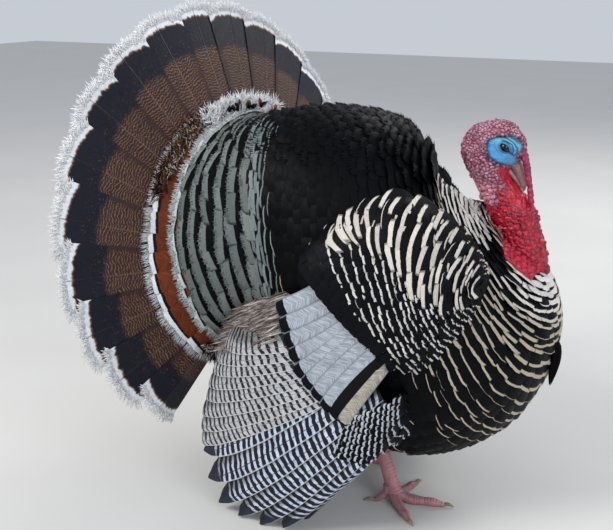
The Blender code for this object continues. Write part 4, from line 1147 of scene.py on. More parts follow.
# ================================================================ wings
def wing_surface():
    """The wing's outer side as a smoothed height field y(x, z) of the right side, from the solids."""
    verts, faces = [], []
    for name in ("wing_R_shoulder", "wing_R_secondaries", "wing_R_primaries", "trunk", "tail_coverts"):
        me = frame["nodes"][name].data
        base = len(verts)
        verts += [Vector(v.co) - Vector(SHIFT) for v in me.vertices]
        faces += [[base + i for i in p.vertices] for p in me.polygons]
    tree = BVHTree.FromPolygons(verts, faces)
    xs, zs = np.linspace(-0.32, 0.26, 146), np.linspace(-0.02, 0.60, 156)
    y = np.full((len(xs), len(zs)), np.nan)
    for i, x in enumerate(xs):
        for j, z in enumerate(zs):
            hit = tree.ray_cast(Vector((x, -0.6, z)), Vector((0, 1, 0)))[0]
            if hit is not None:
                y[i, j] = hit[1]
    y = np.where(y > -0.12, np.nan, y)
    for _ in range(60):   # grow into the empty places, then smooth
        bad = np.isnan(y)
        if not bad.any():
            break
        p = np.pad(y, 1, constant_values=np.nan)
        near = np.stack([p[:-2, 1:-1], p[2:, 1:-1], p[1:-1, :-2], p[1:-1, 2:]])
        with np.errstate(all="ignore"):
            fill = np.nanmean(near, 0)
        y = np.where(bad, fill, y)
    y = np.where(np.isnan(y), -0.15, y)
    raw = y.copy()
    for _ in range(5):
        p = np.pad(y, 1, mode="edge")
        y = (p[:-2, 1:-1] + p[2:, 1:-1] + p[1:-1, :-2] + p[1:-1, 2:] + 2 * p[1:-1, 1:-1]) / 6
    y = np.minimum(y, raw * 0.5 + y * 0.5)

    def height(x, z):
        fx = np.clip((np.asarray(x) - xs[0]) / (xs[1] - xs[0]), 0, len(xs) - 1.001)
        fz = np.clip((np.asarray(z) - zs[0]) / (zs[1] - zs[0]), 0, len(zs) - 1.001)
        i, j = fx.astype(int), fz.astype(int)
        f, g = fx - i, fz - j
        return (y[i, j] * (1 - g) + y[i, j + 1] * g) * (1 - f) + (y[i + 1, j] * (1 - g) + y[i + 1, j + 1] * g) * f

    return height


def patch_chart(height, near, far, bulge=0.0, n_a=60, n_b=50, lift=0.0):
    """Chart on the wing's side between curves: b runs from the near (upper) to the far (lower) one, and a from front to back."""
    near, far = smooth_through(near, n_a)[::-1], smooth_through(far, n_a)[::-1]
    s = np.linspace(0, 1, n_b)[None, :, None]
    mid = (near + far) / 2
    mid[:, 0] += np.broadcast_to(bulge, (n_a,)) if np.ndim(bulge) else bulge
    p = (1 - s) ** 2 * near[:, None] + 2 * s * (1 - s) * mid[:, None] + s * s * far[:, None]
    y = height(p[..., 0], p[..., 1]) - lift
    return Chart(np.stack([p[..., 0], y, p[..., 1]], -1), False, outward=np.array([0, -1.0, 0]))


def drawn_back(p):
    """The left shoulder sits lower than the right one and ends a little further back."""
    p = np.array(p, float)
    x = p[..., 0]
    p[..., 0] = np.where(x > 0.12, 0.12 + (x - 0.12) * 0.5, x)
    z = p[..., 2]
    fore = step_between(x, -0.05, 0.03)
    p[..., 2] = np.where(z > 0.40, 0.40 + (z - 0.40) * (1 - 0.44 * fore), z)
    return p


def mirrored(f):
    g = dict(f)
    g["P"] = drawn_back(f["P"] * np.array([1, -1, 1]))
    g["N"] = f["N"] * np.array([1, -1, 1])
    return g


class Pair:
    """The same vanes on both wings."""

    def __init__(self, name, material, slot):
        self.coats = (Coat(name + "_R", material, slot), Coat(name + "_L", material, slot))

    def vanes(self, f, place, *args, **kw):
        self.coats[0].vanes(f, place, *args, **kw)
        self.coats[1].vanes(mirrored(f), place, *args, **kw)

    def fringe(self, f, *args, **kw):
        state = args[4]
        seed = int(state.integers(1 << 30))
        for coat, g in zip(self.coats, (f, mirrored(f))):
            rest = list(args)
            rest[4] = np.random.default_rng(seed)
            fringe_of(coat, g, *rest, **kw)

    def build(self):
        return [ob for coat in self.coats for ob in coat.build()]


def quill_grid(centres, slope, half, rows, cols, shape, reach, drop, blunt, layer, lift, rng):
    """Front grids of flight feathers: centres in the wing's own u, shape = (v, width share) pairs."""
    n = len(centres)
    u = np.linspace(-1, 1, cols + 1)
    v = rows
    w = np.interp(v, [p[0] for p in shape], [p[1] for p in shape])
    uu = centres[:, None, None] + slope[:, None, None] * (1 - v)[None, :, None] + half * w[None, :, None] * u[None, None, :]
    tip = reach[:, None, None] - drop * np.abs(u)[None, None, :] ** blunt * (v**3)[None, :, None]
    vv = v[None, :, None] * tip
    over = np.clip(uu, 0.0, 1.0)
    P = wing_point(over, vv)
    half_thick = 0.0060 * np.maximum(1 - vv, 0) ** 1.3 + 0.0004
    off = half_thick * 0.4 + lift + layer * u[None, None, :] - 0.0014 * (u**2)[None, None, :] - 0.0035 * (1 - step_between(vv, 0.05, 0.34))
    P[..., 1] -= off
    P[..., 2] = np.maximum(P[..., 2], 0.0012)
    N = np.zeros_like(P)
    N[..., 1] = -1
    L = np.linalg.norm(wing_point(centres, np.ones(n)) - wing_point(centres, np.zeros(n)), axis=1)
    W = np.linalg.norm(np.diff(P, axis=2), axis=-1).sum(2)
    return {"P": P, "N": N, "d": (1 - v)[None, :, None] * L[:, None, None] + 0 * P[..., 0], "c": W[:, :, None] / 2 * u[None, None, :],
            "u": u[None, None, :] + 0 * P[..., 0], "v": v[None, :, None] + 0 * P[..., 0], "n": n}


def make_wings():
    rng = np.random.default_rng(31)
    height = wing_surface()
    # flight feathers
    quills = Pair("wing_quills", [barred_material("secondary_quill", False), barred_material("primary_quill", True)], "flight_feather")
    v = np.array([0, .1, .2, .3, .4, .5, .6, .68, .75, .81, .86, .90, .93, .955, .975, .99, 1.0])
    second = np.array([0.006, 0.052, 0.100, 0.148, 0.196, 0.244, 0.292, 0.338])
    first = np.array([0.378, 0.462, 0.550, 0.642, 0.734, 0.826, 0.912])
    plans = ((second, np.interp(second, [0, 0.30, 0.36], [0.25, 0.15, 0.11]), 0.040, [(0, .8), (.3, 1), (.90, 1), (1, .84)], 0.994 - rng.uniform(0, 0.030, 8), 0.030, 3.5, 0, 0.0016),
             (first, np.interp(first, [0.36, 0.6, 1], [0.05, 0.015, 0.0]), 0.066, [(0, .6), (.3, .95), (.62, 1), (.80, .86), (.90, .66), (.96, .44), (1, .14)], 1.0 - rng.uniform(0, 0.012, 7), 0.012, 2.0, 1, 0.0004))
    for centres, slope, half, shape, reach, drop, blunt, mat, lift in plans:
        f = quill_grid(centres, slope, half, v, 12, shape, reach, drop, blunt, 0.0024, lift, rng)
        n = f["n"]
        k = np.arange(n)
        row = 0.5 * mat
        island = np.stack([(k + 0.06) / n, np.full(n, 0.02 + row), (k + 0.94) / n, np.full(n, 0.48 + row)], 1)
        quills.vanes(f, np.stack([(k + .5) / n, np.full(n, .5)], 1), mat=mat, thick=0.0010, island=island, seed=5 + mat)
    quills.build()

    contour = contour_material("wing_contour", ragged=0.0016)
    small = Pair("wing_coverts", contour, "body_feather")

    def rows_on(ch, a_list, b_lo, b_hi, width, share, length, band, colour, region, miss=0.06, high=0.0, low=-0.006, nu=6, nv=5, drop=0.08, tip=0.85, jag=0.0009,
                base=(12, 13, 18), camber=0.0012, jitter=0.004, fringe=0, turn=0.07):
        phase = 0.0
        for i, a0 in enumerate(a_list):
            b = np.linspace(0, 1, 301)
            p = ch.at(np.full(301, min(a0, 1.0)), b)[0]
            s = np.concatenate([[0], np.cumsum(np.linalg.norm(np.diff(p, axis=0), axis=1))])
            wd = width(a0) if callable(width) else width
            n = max(2, int(round(s[-1] * (b_hi - b_lo) / (wd * share))))
            phase = (phase + 0.5) % 1
            at = b_lo + (b_hi - b_lo) * (np.arange(n) + phase * 0.9 + 0.05 + rng.uniform(-0.1, 0.1, n)) / n
            bb = np.interp(at * s[-1], s, b)
            aa = a0 + rng.normal(0, jitter, n)
            ln = (length(a0) if callable(length) else length) * rng.uniform(0.92, 1.08, n)
            bd = (band(a0) if callable(band) else band) * rng.uniform(0.70, 1.2, n)
            bd = np.where(rng.random(n) < miss, bd * 0.2, bd)
            w = np.stack([bd, bd * 0, bd * 0], 1)
            c1 = (colour(a0) if callable(colour) else colour) * rng.uniform(0.82, 1.1, (n, 1))
            roll = 0.0005 * np.where(np.arange(n) % 2 == 0, 1, -1)
            hh = high(a0) if callable(high) else high
            f = lay(ch, aa, bb, ln, wd * rng.uniform(0.93, 1.07, n), nu=nu, nv=nv, turn=rng.normal(0, turn, n), low=low, high=hh + rng.uniform(-.0003, .0006, n),
                    camber=camber, roll=roll, drop=drop, tipw=tip, jag=jag, rng=rng)
            x0, y0, x1, y1 = region
            place = np.stack([x0 + (x1 - x0) * bb, y0 + (y1 - y0) * np.clip(aa, 0, 1)], 1)
            small.vanes(f, place, w, c1, srgb(*base) * np.ones((n, 1)), srgb(*base) * np.ones((n, 1)), seed=i + 50)
            if fringe:
                small.fringe(f, c1, fringe, (0.002, 0.005), place, rng)

    # fine zebra over the hand, below the panel
    zebra = patch_chart(height, [(0.010, .216), (0.034, .232), (0.062, .246), (0.084, .262)], [(-0.010, .150), (0.020, .142), (0.052, .150), (0.078, .175)], 0.0, lift=-0.001)
    rows_on(zebra, np.linspace(0.10, 1.08, 12), 0.0, 1.0, 0.0115, 0.86, 0.028, 0.0030, srgb(186, 190, 196), (0.02, 0.02, 0.48, 0.30), high=0.0035, low=-0.003, nu=4, nv=4)

    # the white panel of greater coverts, a black stripe and one more pale feather
    A = [(-0.081, .431), (-0.066, .418), (-0.050, .401), (-0.034, .381), (-0.018, .362), (-0.001, .345), (0.016, .329), (0.031, .314), (0.045, .302), (0.060, .291)]
    B = [(-0.121, .377), (-0.112, .351), (-0.102, .326), (-0.092, .302), (-0.079, .276), (-0.062, .255), (-0.043, .238), (-0.023, .223), (-0.006, .211), (0.005, .205)]
    A2, B2 = np.array(A), np.array(B)
    grow = (A2 - B2) * 0.26
    panel = patch_chart(height, (A2 + grow).tolist(), (B2 - (A2 - B2) * 0.10).tolist(), 0.0, n_a=64, n_b=70, lift=0.0)
    # the chart's a runs from the lower right feather to the upper left one, and b towards the tips: swap them
    panel = Chart(panel.p.transpose(1, 0, 2), False, outward=np.array([0, -1.0, 0]))
    count = 10
    kk = np.arange(count)
    at_b = (kk + 0.5) / count
    pale = np.tile(srgb(178, 186, 196), (count, 1)) * rng.uniform(0.88, 1.06, (count, 1))
    base = np.tile(srgb(12, 13, 18), (count, 1))
    tips = np.full(count, 0.955) + rng.normal(0, 0.006, count)
    P0 = panel.at(tips, at_b)[0]
    P1 = panel.at(np.full(count, 0.0), at_b)[0]
    L = np.linalg.norm(P0 - P1, axis=1)
    # c1 is the black terminal band; behind it the white runs to where the smaller coverts lie
    w = np.stack([np.full(count, 0.0125) * rng.uniform(0.9, 1.1, count), np.full(count, 0.0125), np.full(count, 0.20)], 1)
    c1, c3 = base.copy(), pale.copy()
    c3[1] = srgb(14, 15, 20)                     # the black stripe
    c3[0] = srgb(178, 172, 160)
    w[0] = (0.004, 0.004, 0.20)
    wide = np.full(count, 0.030)
    wide[0] = 0.019
    w[:, 1] = w[:, 0]
    # painted shade: the panel's vanes darken towards their sides, where one meets the next
    side_shade = pale * 0.45
    side_shade[1], side_shade[0] = base[1], c3[0] * 0.5
    f = lay(panel, tips, at_b, L, wide, nv=9, nu=8, turn=rng.normal(0, 0.03, count), low=0.0005, high=0.0050, camber=0.0016,
            roll=-0.0013, drop=0.035, tipw=0.84, jag=0.0012, root=0.7, rng=rng)
    place = np.stack([0.55 + 0.4 * at_b, np.full(count, 0.15)], 1)
    island = np.stack([0.52 + 0.46 * kk / count, np.full(count, 0.02), 0.52 + 0.46 * (kk + 0.9) / count, np.full(count, 0.30)], 1)
    small.vanes(f, place, w, c1, c3, side_shade, island=island, seed=9, thick=0.0009)

    # median and lesser coverts: fine rows slanting down, smallest at the wrist
    cov = patch_chart(height, [(-0.092, .440), (-0.062, .462), (-0.034, .476), (0.0, .488), (0.034, .482), (0.067, .464), (0.098, .430), (0.128, .412), (0.158, .404), (0.176, .404)],
                      [(0.046, .312), (0.060, .294), (0.076, .284), (0.094, .286), (0.112, .298), (0.130, .318), (0.147, .342), (0.162, .366), (0.178, .398)], 0.0, lift=0.0)
    a_list = [1.0]
    while a_list[-1] > 0.03:
        a_list.append(a_list[-1] - np.interp(a_list[-1], [0, 0.3, 0.6, 1.0], [0.030, 0.042, 0.058, 0.066]))
    a_list = a_list[::-1]
    rows_on(cov, a_list, 0.0, 1.0, lambda a: float(np.interp(a, [0, 0.4, 1], [0.0080, 0.0125, 0.0180])), 0.84,
            lambda a: float(np.interp(a, [0, 0.4, 1], [0.014, 0.024, 0.036])), lambda a: float(np.interp(a, [0, 0.25, 0.6, 0.86, 0.865], [0.0018, 0.0024, 0.0029, 0.0036, 0.0])),
            lambda a: srgb(206, 204, 200), (0.02, 0.32, 0.98, 0.64), high=lambda a: 0.0020 + 0.0056 * float(step_between(a, 0.78, 0.90)), low=-0.004, nu=4, nv=4, drop=0.04, tip=0.94, jag=0.0004, camber=0.0008, jitter=0.0045, turn=0.045)

    # plain feathers all round the lobe, with thin streaks in front
    angles = np.arange(120) * 2 * PI / 120
    lobe = [oval((x, -0.148, (top + low) / 2), (0, -bulge, 0), (0, 0, (top - low) / 2), angles, 2.1) for x, top, low, bulge in smooth_through(SHOULDER, 70)[::-1]]
    lobe = Chart(np.array(lobe), True)
    phase = 0.0
    for i, a0 in enumerate(np.linspace(0.02, 0.92, 22)):
        phase = (phase + 0.5) % 1
        wd = float(np.interp(a0, [0, 0.3, 1], [0.016, 0.030, 0.036]))
        b = ring_row(lobe, a0, wd, 0.62, phase, rng)
        n = len(b)
        top_side = 1 - step_between(np.abs(np.where(b > 0.5, b - 1, b)), 0.16, 0.24)
        bd = rng.uniform(0.0016, 0.0034, n) * top_side * (rng.random(n) < np.interp(a0, [0, 0.25, 0.5], [0.9, 0.7, 0.25]))
        w = np.stack([bd, bd * 0, bd * 0], 1)
        f = lay(lobe, a0 + rng.normal(0, 0.006, n), b, float(np.interp(a0, [0, 0.3], [0.024, 0.040])), wd * rng.uniform(0.93, 1.07, n), nu=6, nv=5,
                turn=rng.normal(0, 0.08, n), low=-0.007, high=rng.uniform(-0.0004, 0.0010, n), camber=0.0014, roll=0.0005 * np.where(np.arange(n) % 2 == 0, 1, -1),
                drop=0.04, tipw=0.88, jag=0.0008, rng=rng)
        small.vanes(f, np.stack([0.02 + 0.96 * b, 0.315 + 0.01 * a0 + 0 * b], 1), w, srgb(196, 188, 172) * np.ones((n, 1)), srgb(9, 10, 14) * np.ones((n, 1)),
                    srgb(9, 10, 14) * np.ones((n, 1)), seed=i + 300)

    # loose plumes of the flank, between the rump and the wing
    n = 2600
    s1, s2 = rng.random(n), rng.random(n)
    up = np.array((-0.100, -0.196, 0.385)) * (1 - s1[:, None]) + np.array((-0.212, -0.140, 0.338)) * s1[:, None]
    dn = np.array((-0.112, -0.214, 0.322)) * (1 - s1[:, None]) + np.array((-0.218, -0.196, 0.280)) * s1[:, None]
    base = up * (1 - s2[:, None]) + dn * s2[:, None] + rng.normal(0, 0.003, (n, 3))
    base[:, 1] += 0.002
    way = unit(np.array((-0.86, -0.10, -0.50)) + rng.normal(0, 0.13, (n, 3)))
    tone = rng.random((n, 1))
    col = np.where(tone < 0.45, srgb(160, 152, 146) * (0.7 + tone), np.where(tone < 0.75, srgb(112, 96, 88) * (0.6 + tone), srgb(208, 204, 198) * 1.0))
    length = rng.uniform(0.022, 0.042, n)
    wid = rng.uniform(0.0012, 0.0028, n)
    place = np.stack([0.02 + 0.46 * s1, 0.02 + 0.27 * s2], 1)
    for coat, flip in ((small.coats[0], 1), (small.coats[1], -1)):
        m = np.array((1, flip, 1))
        coat.hairs(base * m, way * m, np.broadcast_to(np.array((0, -1.0 * flip, 0.2)), (n, 3)), length, wid, place, np.clip(col, 0, 1), bend=0.003)

    # scapulars: broad pale bands on the lobe
    scap = patch_chart(height, [(-0.036, .484), (-0.022, .508), (0.000, .528), (0.030, .538), (0.062, .540), (0.096, .530), (0.126, .512), (0.150, .492), (0.168, .470), (0.180, .446)],
                       [(-0.026, .474), (0.000, .486), (0.026, .480), (0.050, .464), (0.074, .444), (0.096, .420), (0.118, .406), (0.140, .400), (0.162, .404), (0.178, .424)],
                       -0.006, lift=0.0)
    a_list = [1.02]
    while a_list[-1] > 0.02:
        a_list.append(a_list[-1] - np.interp(a_list[-1], [0, 0.3, 1.0], [0.046, 0.062, 0.074]))
    a_list = a_list[::-1]
    rows_on(scap, a_list, -0.02, 1.02, lambda a: float(np.interp(a, [0, 0.4, 1], [0.026, 0.044, 0.052])), 0.72,
            lambda a: float(np.interp(a, [0, 0.4, 1], [0.026, 0.044, 0.050])), lambda a: float(np.interp(a, [0, 0.3, 1], [0.0034, 0.0056, 0.0074])),
            lambda a: srgb(206, 200, 190), (0.02, 0.66, 0.98, 0.98), high=lambda a: 0.0046, low=-0.004, nu=8, nv=6, drop=0.025, tip=0.92, jag=0.0010, camber=0.0014, jitter=0.010)
    small.build()


# ================================================================ the rest of the plumage
def make_undertail():
    """Soft feathers behind and below the root of the tail."""
    rng = np.random.default_rng(41)
    table = smooth_through(UNDERTAIL[2:][::-1], 40)      # from the middle outwards
    phis = np.linspace(-PI, PI, 181)[:-1]
    reach = 0.118 + 0.070 * (np.abs(phis) / PI) ** 2
    grid = [tail_point(reach * share, phis, -depth) for share, depth in table]
    wide = 0.020 + 0.032 * (1 - step_between(np.abs(phis), 1.9, 2.3))      # flat on the back of the quills
    grid += [tail_point(reach + wide * t, phis, -0.0030) for t in np.linspace(0.14, 1.0, 7)]
    edge = (len(table) - 1) / (len(grid) - 1)
    ch = Chart(np.array(grid), True, outward=-TAIL_N)
    coat = Coat("undertail_coat", contour_material("undertail_feather", (0.2, 0.15, 0.12), 0.6, 0.003), "body_feather")
    phase = 0
    for i, a0 in enumerate(np.linspace(0.15, 0.985, 14)):
        phase += 0.5
        b = ring_row(ch, a0, 0.034, 0.60, phase % 1, rng)
        b = b[(a0 <= edge) | (np.abs(b * 2 - 1) < 0.66)]       # none beyond the fan's lower ends
        n = len(b)
        band = rng.uniform(0.0016, 0.0060, n)
        w = np.stack([band, band + rng.uniform(0.002, 0.006, n), band + rng.uniform(0.012, 0.024, n)], 1)
        side = np.abs(b * 2 - 1)[:, None]
        c1 = (srgb(176, 172, 164) * side + srgb(190, 176, 158) * (1 - side)) * rng.uniform(0.55, 1.1, (n, 1))
        c3 = srgb(92, 62, 46) * rng.uniform(0.5, 1.15, (n, 1))
        row = np.clip(a0 + rng.normal(0, 0.020, n), 0.12, 1.0)
        f = lay(ch, row, b, rng.uniform(0.044, 0.066, n), 0.034 * rng.uniform(0.85, 1.15, n), nv=6, nu=6, turn=rng.normal(0, 0.16, n), low=-0.006,
                high=rng.uniform(0.000, 0.0025, n), camber=0.002, roll=0.0007 * np.where(np.arange(n) % 2, 1, -1), drop=0.10, tipw=0.8, jag=0.002, rng=rng)
        place = np.stack([b, 0.05 + 0.9 * np.full(n, a0)], 1)
        coat.vanes(f, place, w, c1, c3, srgb(26, 21, 21) * np.ones((n, 1)), seed=i)
        fringe_of(coat, f, c1, 12, (0.004, 0.010), place, rng)
    coat.build()


def thigh_path(foot, side):
    hock = np.array([foot[0] - 0.044, foot[1] * 1.04, 0.150])
    top = np.array([hock[0] * 0.75 + 0.040, foot[1] * 1.35, 0.245])
    return hock, top


def tube_rings(path, radii, count, flat=1.0, side=(0, 1, 0), turn=0.0):
    path = np.asarray(path, float)
    tangent = unit(np.gradient(path, axis=0))
    side = np.asarray(side, float)
    angles = (np.arange(count) + turn) * 2 * PI / count
    rings = []
    for p, d, r in zip(path, tangent, radii):
        s = unit(side - d * np.dot(d, side))
        n = np.cross(d, s)
        rings.append(oval(p, s * r, n * r * flat, angles))
    return np.array(rings)


def make_thigh_coat():
    rng = np.random.default_rng(43)
    coat = Coat("thigh_coat", contour_material("thigh_feather", ragged=0.003), "body_feather")
    for tag, (foot, side) in enumerate(((FOOT_R, -1), (FOOT_L, 1))):
        hock, top = thigh_path(foot, side)
        hock = hock + np.array([0.006, 0, -0.018])
        path = smooth_through([top, top * 0.5 + hock * 0.5, hock * 0.85 + top * 0.15, hock + (hock - top) * 0.02], 40)
        radii = smooth_through(np.array([[0.058], [0.053], [0.043], [0.033], [0.024], [0.017]]), 40)[:, 0]
        ch = Chart(tube_rings(path, radii, 72), True)
        phase = 0
        for i, a0 in enumerate(np.linspace(0.12, 1.0, 17)):
            phase += 0.5
            wd = float(np.interp(a0, [0, 1], [0.020, 0.012]))
            b = ring_row(ch, a0, wd, 0.6, phase % 1, rng)
            n = len(b)
            fleck = rng.random(n) < 0.10
            band = np.where(fleck, rng.uniform(0.001, 0.0022, n), 0.0)
            w = np.stack([band, band * 0, band * 0], 1)
            f = lay(ch, np.full(n, a0), b, 0.026, wd, nv=5, nu=4, turn=rng.normal(0, 0.12, n), low=-0.005, high=rng.uniform(-0.0004, 0.0014, n), camber=0.0012,
                    roll=0.0004 * np.where(np.arange(n) % 2, 1, -1), drop=0.16, tipw=0.6, jag=0.0012, rng=rng)
            place = np.stack([b * 0.46 + 0.02 + 0.5 * tag, np.full(n, 0.04 + a0 * 0.9)], 1)
            coat.vanes(f, place, w, srgb(190, 180, 160) * np.ones((n, 1)), srgb(13, 13, 16), srgb(13, 13, 16) * np.ones((n, 1)), seed=i + 100 * tag)
    coat.build()


def make_beard():
    rng = np.random.default_rng(47)
    path = smooth_through([(0.238, 0, 0.318), (0.2555, 0, 0.306), (0.257, 0, 0.283), (0.254, 0, 0.262), (0.251, 0, 0.238)], 9)
    radii = np.interp(np.linspace(0, 1, 9), np.linspace(0, 1, 8), [0.0042, 0.0062, 0.0085, 0.0098, 0.0104, 0.0098, 0.0075, 0.0030])
    coat = Coat("beard_bristles", contour_material("beard_bristle", (0.1, 0.1, 0.12), 0.42, 0.0), "beard_hair")
    n = 260
    th, rr = rng.uniform(0, 2 * PI, n), np.sqrt(rng.uniform(0, 1, n))
    end = rng.uniform(0.72, 1.0, n)
    cols, seg = 3, 9
    verts, quads, tris = [], [], []
    colours, place = [], []
    m = seg * 3 + 1
    for i in range(n):
        s = np.linspace(0, end[i], seg)
        c = smooth_at(path, s * 8)
        r = np.interp(s, np.linspace(0, 1, 9), radii)
        x = np.stack([np.cos(th[i]) * rr[i] * r * 0.72, np.sin(th[i]) * rr[i] * r, 0 * r], 1)
        c = c + x
        w = np.interp(np.linspace(0, 1, seg), [0, 0.6, 1], [0.00075, 0.0006, 0.00035])[:, None]
        ring = np.stack([c + w * np.array([0, 1, 0]), c + w * np.array([0.8, -0.6, 0]), c + w * np.array([-0.8, -0.6, 0])], 1).reshape(-1, 3)
        verts.append(np.vstack([ring, c[-1] + (c[-1] - c[-2]) * 0.4]))
        base = i * m
        for k in range(seg - 1):
            for a, b in ((0, 1), (1, 2), (2, 0)):
                quads.append((base + 3 * k + a, base + 3 * k + 3 + a, base + 3 * k + 3 + b, base + 3 * k + b))
        e = base + 3 * (seg - 1)
        tris += [(base, base + 1, base + 2), (e, base + m - 1, e + 1), (e + 1, base + m - 1, e + 2), (e + 2, base + m - 1, e)]
        tone = rng.uniform(0.6, 1.6)
        colours.append(np.tile(srgb(18, 16, 18) * tone, (m, 1)))
        spot = (0.03 + 0.94 * (i % 20) / 20, 0.03 + 0.94 * (i // 20) / 14)
        place.append(np.tile(spot, (m, 1)) + np.vstack([np.tile([(-.0015, 0), (.0015, 0), (0, .0015)], (seg, 1)), [(0, .003)]]))
    cc = np.concatenate(colours)
    nv = len(cc)
    zero = np.zeros((nv, 3))
    coat.add(np.concatenate(verts), np.array(quads), np.array(tris), 0, np.concatenate(place), {"fa": zero, "fb": zero + 0.02, "fw": zero, "c1": cc, "c3": cc, "c0": cc})
    made = coat.build()
    for ob in made:
        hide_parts("beard")


# ================================================================ skin, bill, eyes and feet
def rings_mesh(name, rings, capped=True):
    """A closed tube from rings (A, B, 3), wound outward."""
    rings = np.asarray(rings, float)
    n_a, n_b = rings.shape[:2]
    pts = rings.reshape(-1, 3)
    i = np.arange(n_a * n_b).reshape(n_a, n_b)
    r = np.roll(i, -1, 1)
    quads = np.stack([i[:-1], r[:-1], r[1:], i[1:]], -1).reshape(-1, 4)
    pts = np.vstack([pts, rings[0].mean(0), rings[-1].mean(0)])
    a, b = len(pts) - 2, len(pts) - 1
    tris = np.concatenate([np.stack([r[0], i[0], np.full(n_b, a)], -1), np.stack([i[-1], r[-1], np.full(n_b, b)], -1)])
    p0, p1, p2, p3 = (pts[quads[:, k]] for k in range(4))
    vol = np.einsum("ij,ij->", p0, np.cross(p1, p2)) + np.einsum("ij,ij->", p0, np.cross(p2, p3))
    vol += np.einsum("ij,ij->", pts[tris[:, 0]], np.cross(pts[tris[:, 1]], pts[tris[:, 2]]))
    if vol < 0:
        quads, tris = quads[:, ::-1], tris[:, ::-1]
    me = bpy.data.meshes.new(name)
    me.from_pydata((pts + SHIFT).tolist(), [], quads.tolist() + tris.tolist())
    me.update()
    return me


def temp_object(me):
    ob = bpy.data.objects.new(me.name, me)
    bpy.context.scene.collection.objects.link(ob)
    return ob


def evaluated_mesh(ob):
    bpy.context.view_layer.update()
    return bpy.data.meshes.new_from_object(ob.evaluated_get(bpy.context.evaluated_depsgraph_get()))


def union(ob, me):
    tool = temp_object(me)
    mod = ob.modifiers.new("join", "BOOLEAN")
    mod.operation, mod.solver, mod.object = "UNION", "MANIFOLD", tool
    done = evaluated_mesh(ob)
    ob.modifiers.remove(mod)
    ob.data = done
    bpy.data.objects.remove(tool, do_unlink=True)
    return ob


def mesh_points(me):
    co = np.empty(len(me.vertices) * 3)
    me.vertices.foreach_get("co", co)
    return co.reshape(-1, 3) - SHIFT


def set_attr(me, key, data):
    data = np.asarray(data, np.float32)
    if key.startswith("c"):
        at = me.attributes.new(key, "FLOAT_COLOR", "POINT")
        at.data.foreach_set("color", np.concatenate([data, np.ones((len(data), 1), np.float32)], 1).ravel())
    else:
        at = me.attributes.new(key, "FLOAT_VECTOR", "POINT")
        at.data.foreach_set("vector", data.ravel())


def smooth_faces(me, on=True):
    me.polygons.foreach_set("use_smooth", np.full(len(me.polygons), on))
    me.update()


def flesh_under_coat():
    """The body under the feathers, from the same rows as the solids, drawn in by the coat's depth."""
    angles = np.arange(96) * 2 * PI / 96
    parts = []
    inset = 0.0085

    def drawn_in(rings, by):
        ch = Chart(np.array(rings), True)
        return ch.p - ch.n * np.broadcast_to(by, (len(rings),))[:, None, None]

    trunk = [trunk_ring(r, angles) for r in smooth_through(TRUNK[:], 70)]
    parts.append(rings_mesh("t", drawn_in(trunk, inset)))
    phis = np.where(angles <= PI, angles, angles - 2 * PI)
    start = trunk[-1]
    out = start - TAIL_BASE
    reach = np.hypot(out @ TAIL_U, out @ TAIL_V)
    limit = 0.80 * covert_length(phis)
    knee = tail_point(0.46 * (reach + covert_length(phis)), phis, 0.034)
    rim = tail_point(covert_length(phis), phis, 0.0085)
    bez = [(1 - t) ** 2 * start + 2 * t * (1 - t) * knee + t * t * rim for t in np.linspace(0, 0.72, 16)]
    front = drawn_in(bez, inset)
    back = [tail_point(limit, phis, 0.0045), tail_point(limit * 0.55, phis, 0.0040), tail_point(limit * 0.34, phis, -0.010)]
    parts.append(rings_mesh("c", np.concatenate([front[:1] * 0 + drawn_in(trunk, inset)[-6:-5], front, np.array(back)])))
    for s in (-1, 1):
        rows = []
        for x, top, low, bulge in smooth_through(SHOULDER, 40)[2:-2]:
            rows.append(oval((x, s * 0.146, (top + low) / 2), (0, s * (bulge - 0.008), 0), (0, 0, (top - low) / 2 - 0.006), angles, 2.1))
        parts.append(rings_mesh("s", drawn_back(rows) if s > 0 else rows))
        foot = FOOT_R if s < 0 else FOOT_L
        hock, top = thigh_path(foot, s)
        hock = hock + np.array([0.006, 0, -0.018])
        path = smooth_through([top, top * 0.5 + hock * 0.5, hock * 0.85 + top * 0.15, hock + (hock - top) * 0.02], 24)
        radii = smooth_through(np.array([[0.058], [0.053], [0.043], [0.033], [0.024], [0.017]]), 24)[:, 0] - 0.0065
        parts.append(rings_mesh("l", tube_rings(path, np.maximum(radii, 0.0095), 48)))
    r = 0.118 + 0.070 * (np.abs(phis) / PI) ** 2
    share_depth = smooth_through(np.array(UNDERTAIL), 22)
    rings = [tail_point(r * max(sh - 0.05, 0.06), phis, -(min(max(de, 0.004), 0.078) - 0.008 * (sh < 1.0) * step_between(de, 0.01, 0.03))) for sh, de in share_depth]
    parts.append(rings_mesh("u", rings))
    verts, faces = [], []
    for me in parts:
        base = len(verts)
        verts += [tuple(v.co) for v in me.vertices]
        faces += [[base + i for i in p.vertices] for p in me.polygons]
    me = bpy.data.meshes.new("skin")
    me.from_pydata(verts, [], faces)
    ob = temp_object(me)
    mod = ob.modifiers.new("remesh", "REMESH")
    mod.mode, mod.voxel_size = "VOXEL", 0.0058
    done = evaluated_mesh(ob)
    ob.modifiers.remove(mod)
    ob.data = done
    return ob


def cells(points, seeds, radii):
    """For each point: distance to the border of its cell (0 at a crease) and the index of its seed."""
    tree = KDTree(len(seeds))
    for i, s in enumerate(seeds):
        tree.insert(s, i)
    tree.balance()
    border, index, dist = np.empty(len(points)), np.empty(len(points), int), np.empty(len(points))
    for k, p in enumerate(points):
        near = tree.find_n(p, 2)
        d1, d2 = near[0][2], near[1][2]
        index[k] = near[0][1]
        dist[k] = d1
        border[k] = (d2 * d2 - d1 * d1) / (2 * max((seeds[near[0][1]] - seeds[near[1][1]]).dot(seeds[near[0][1]] - seeds[near[1][1]]) ** 0.5, 1e-6))
    return border, index, dist


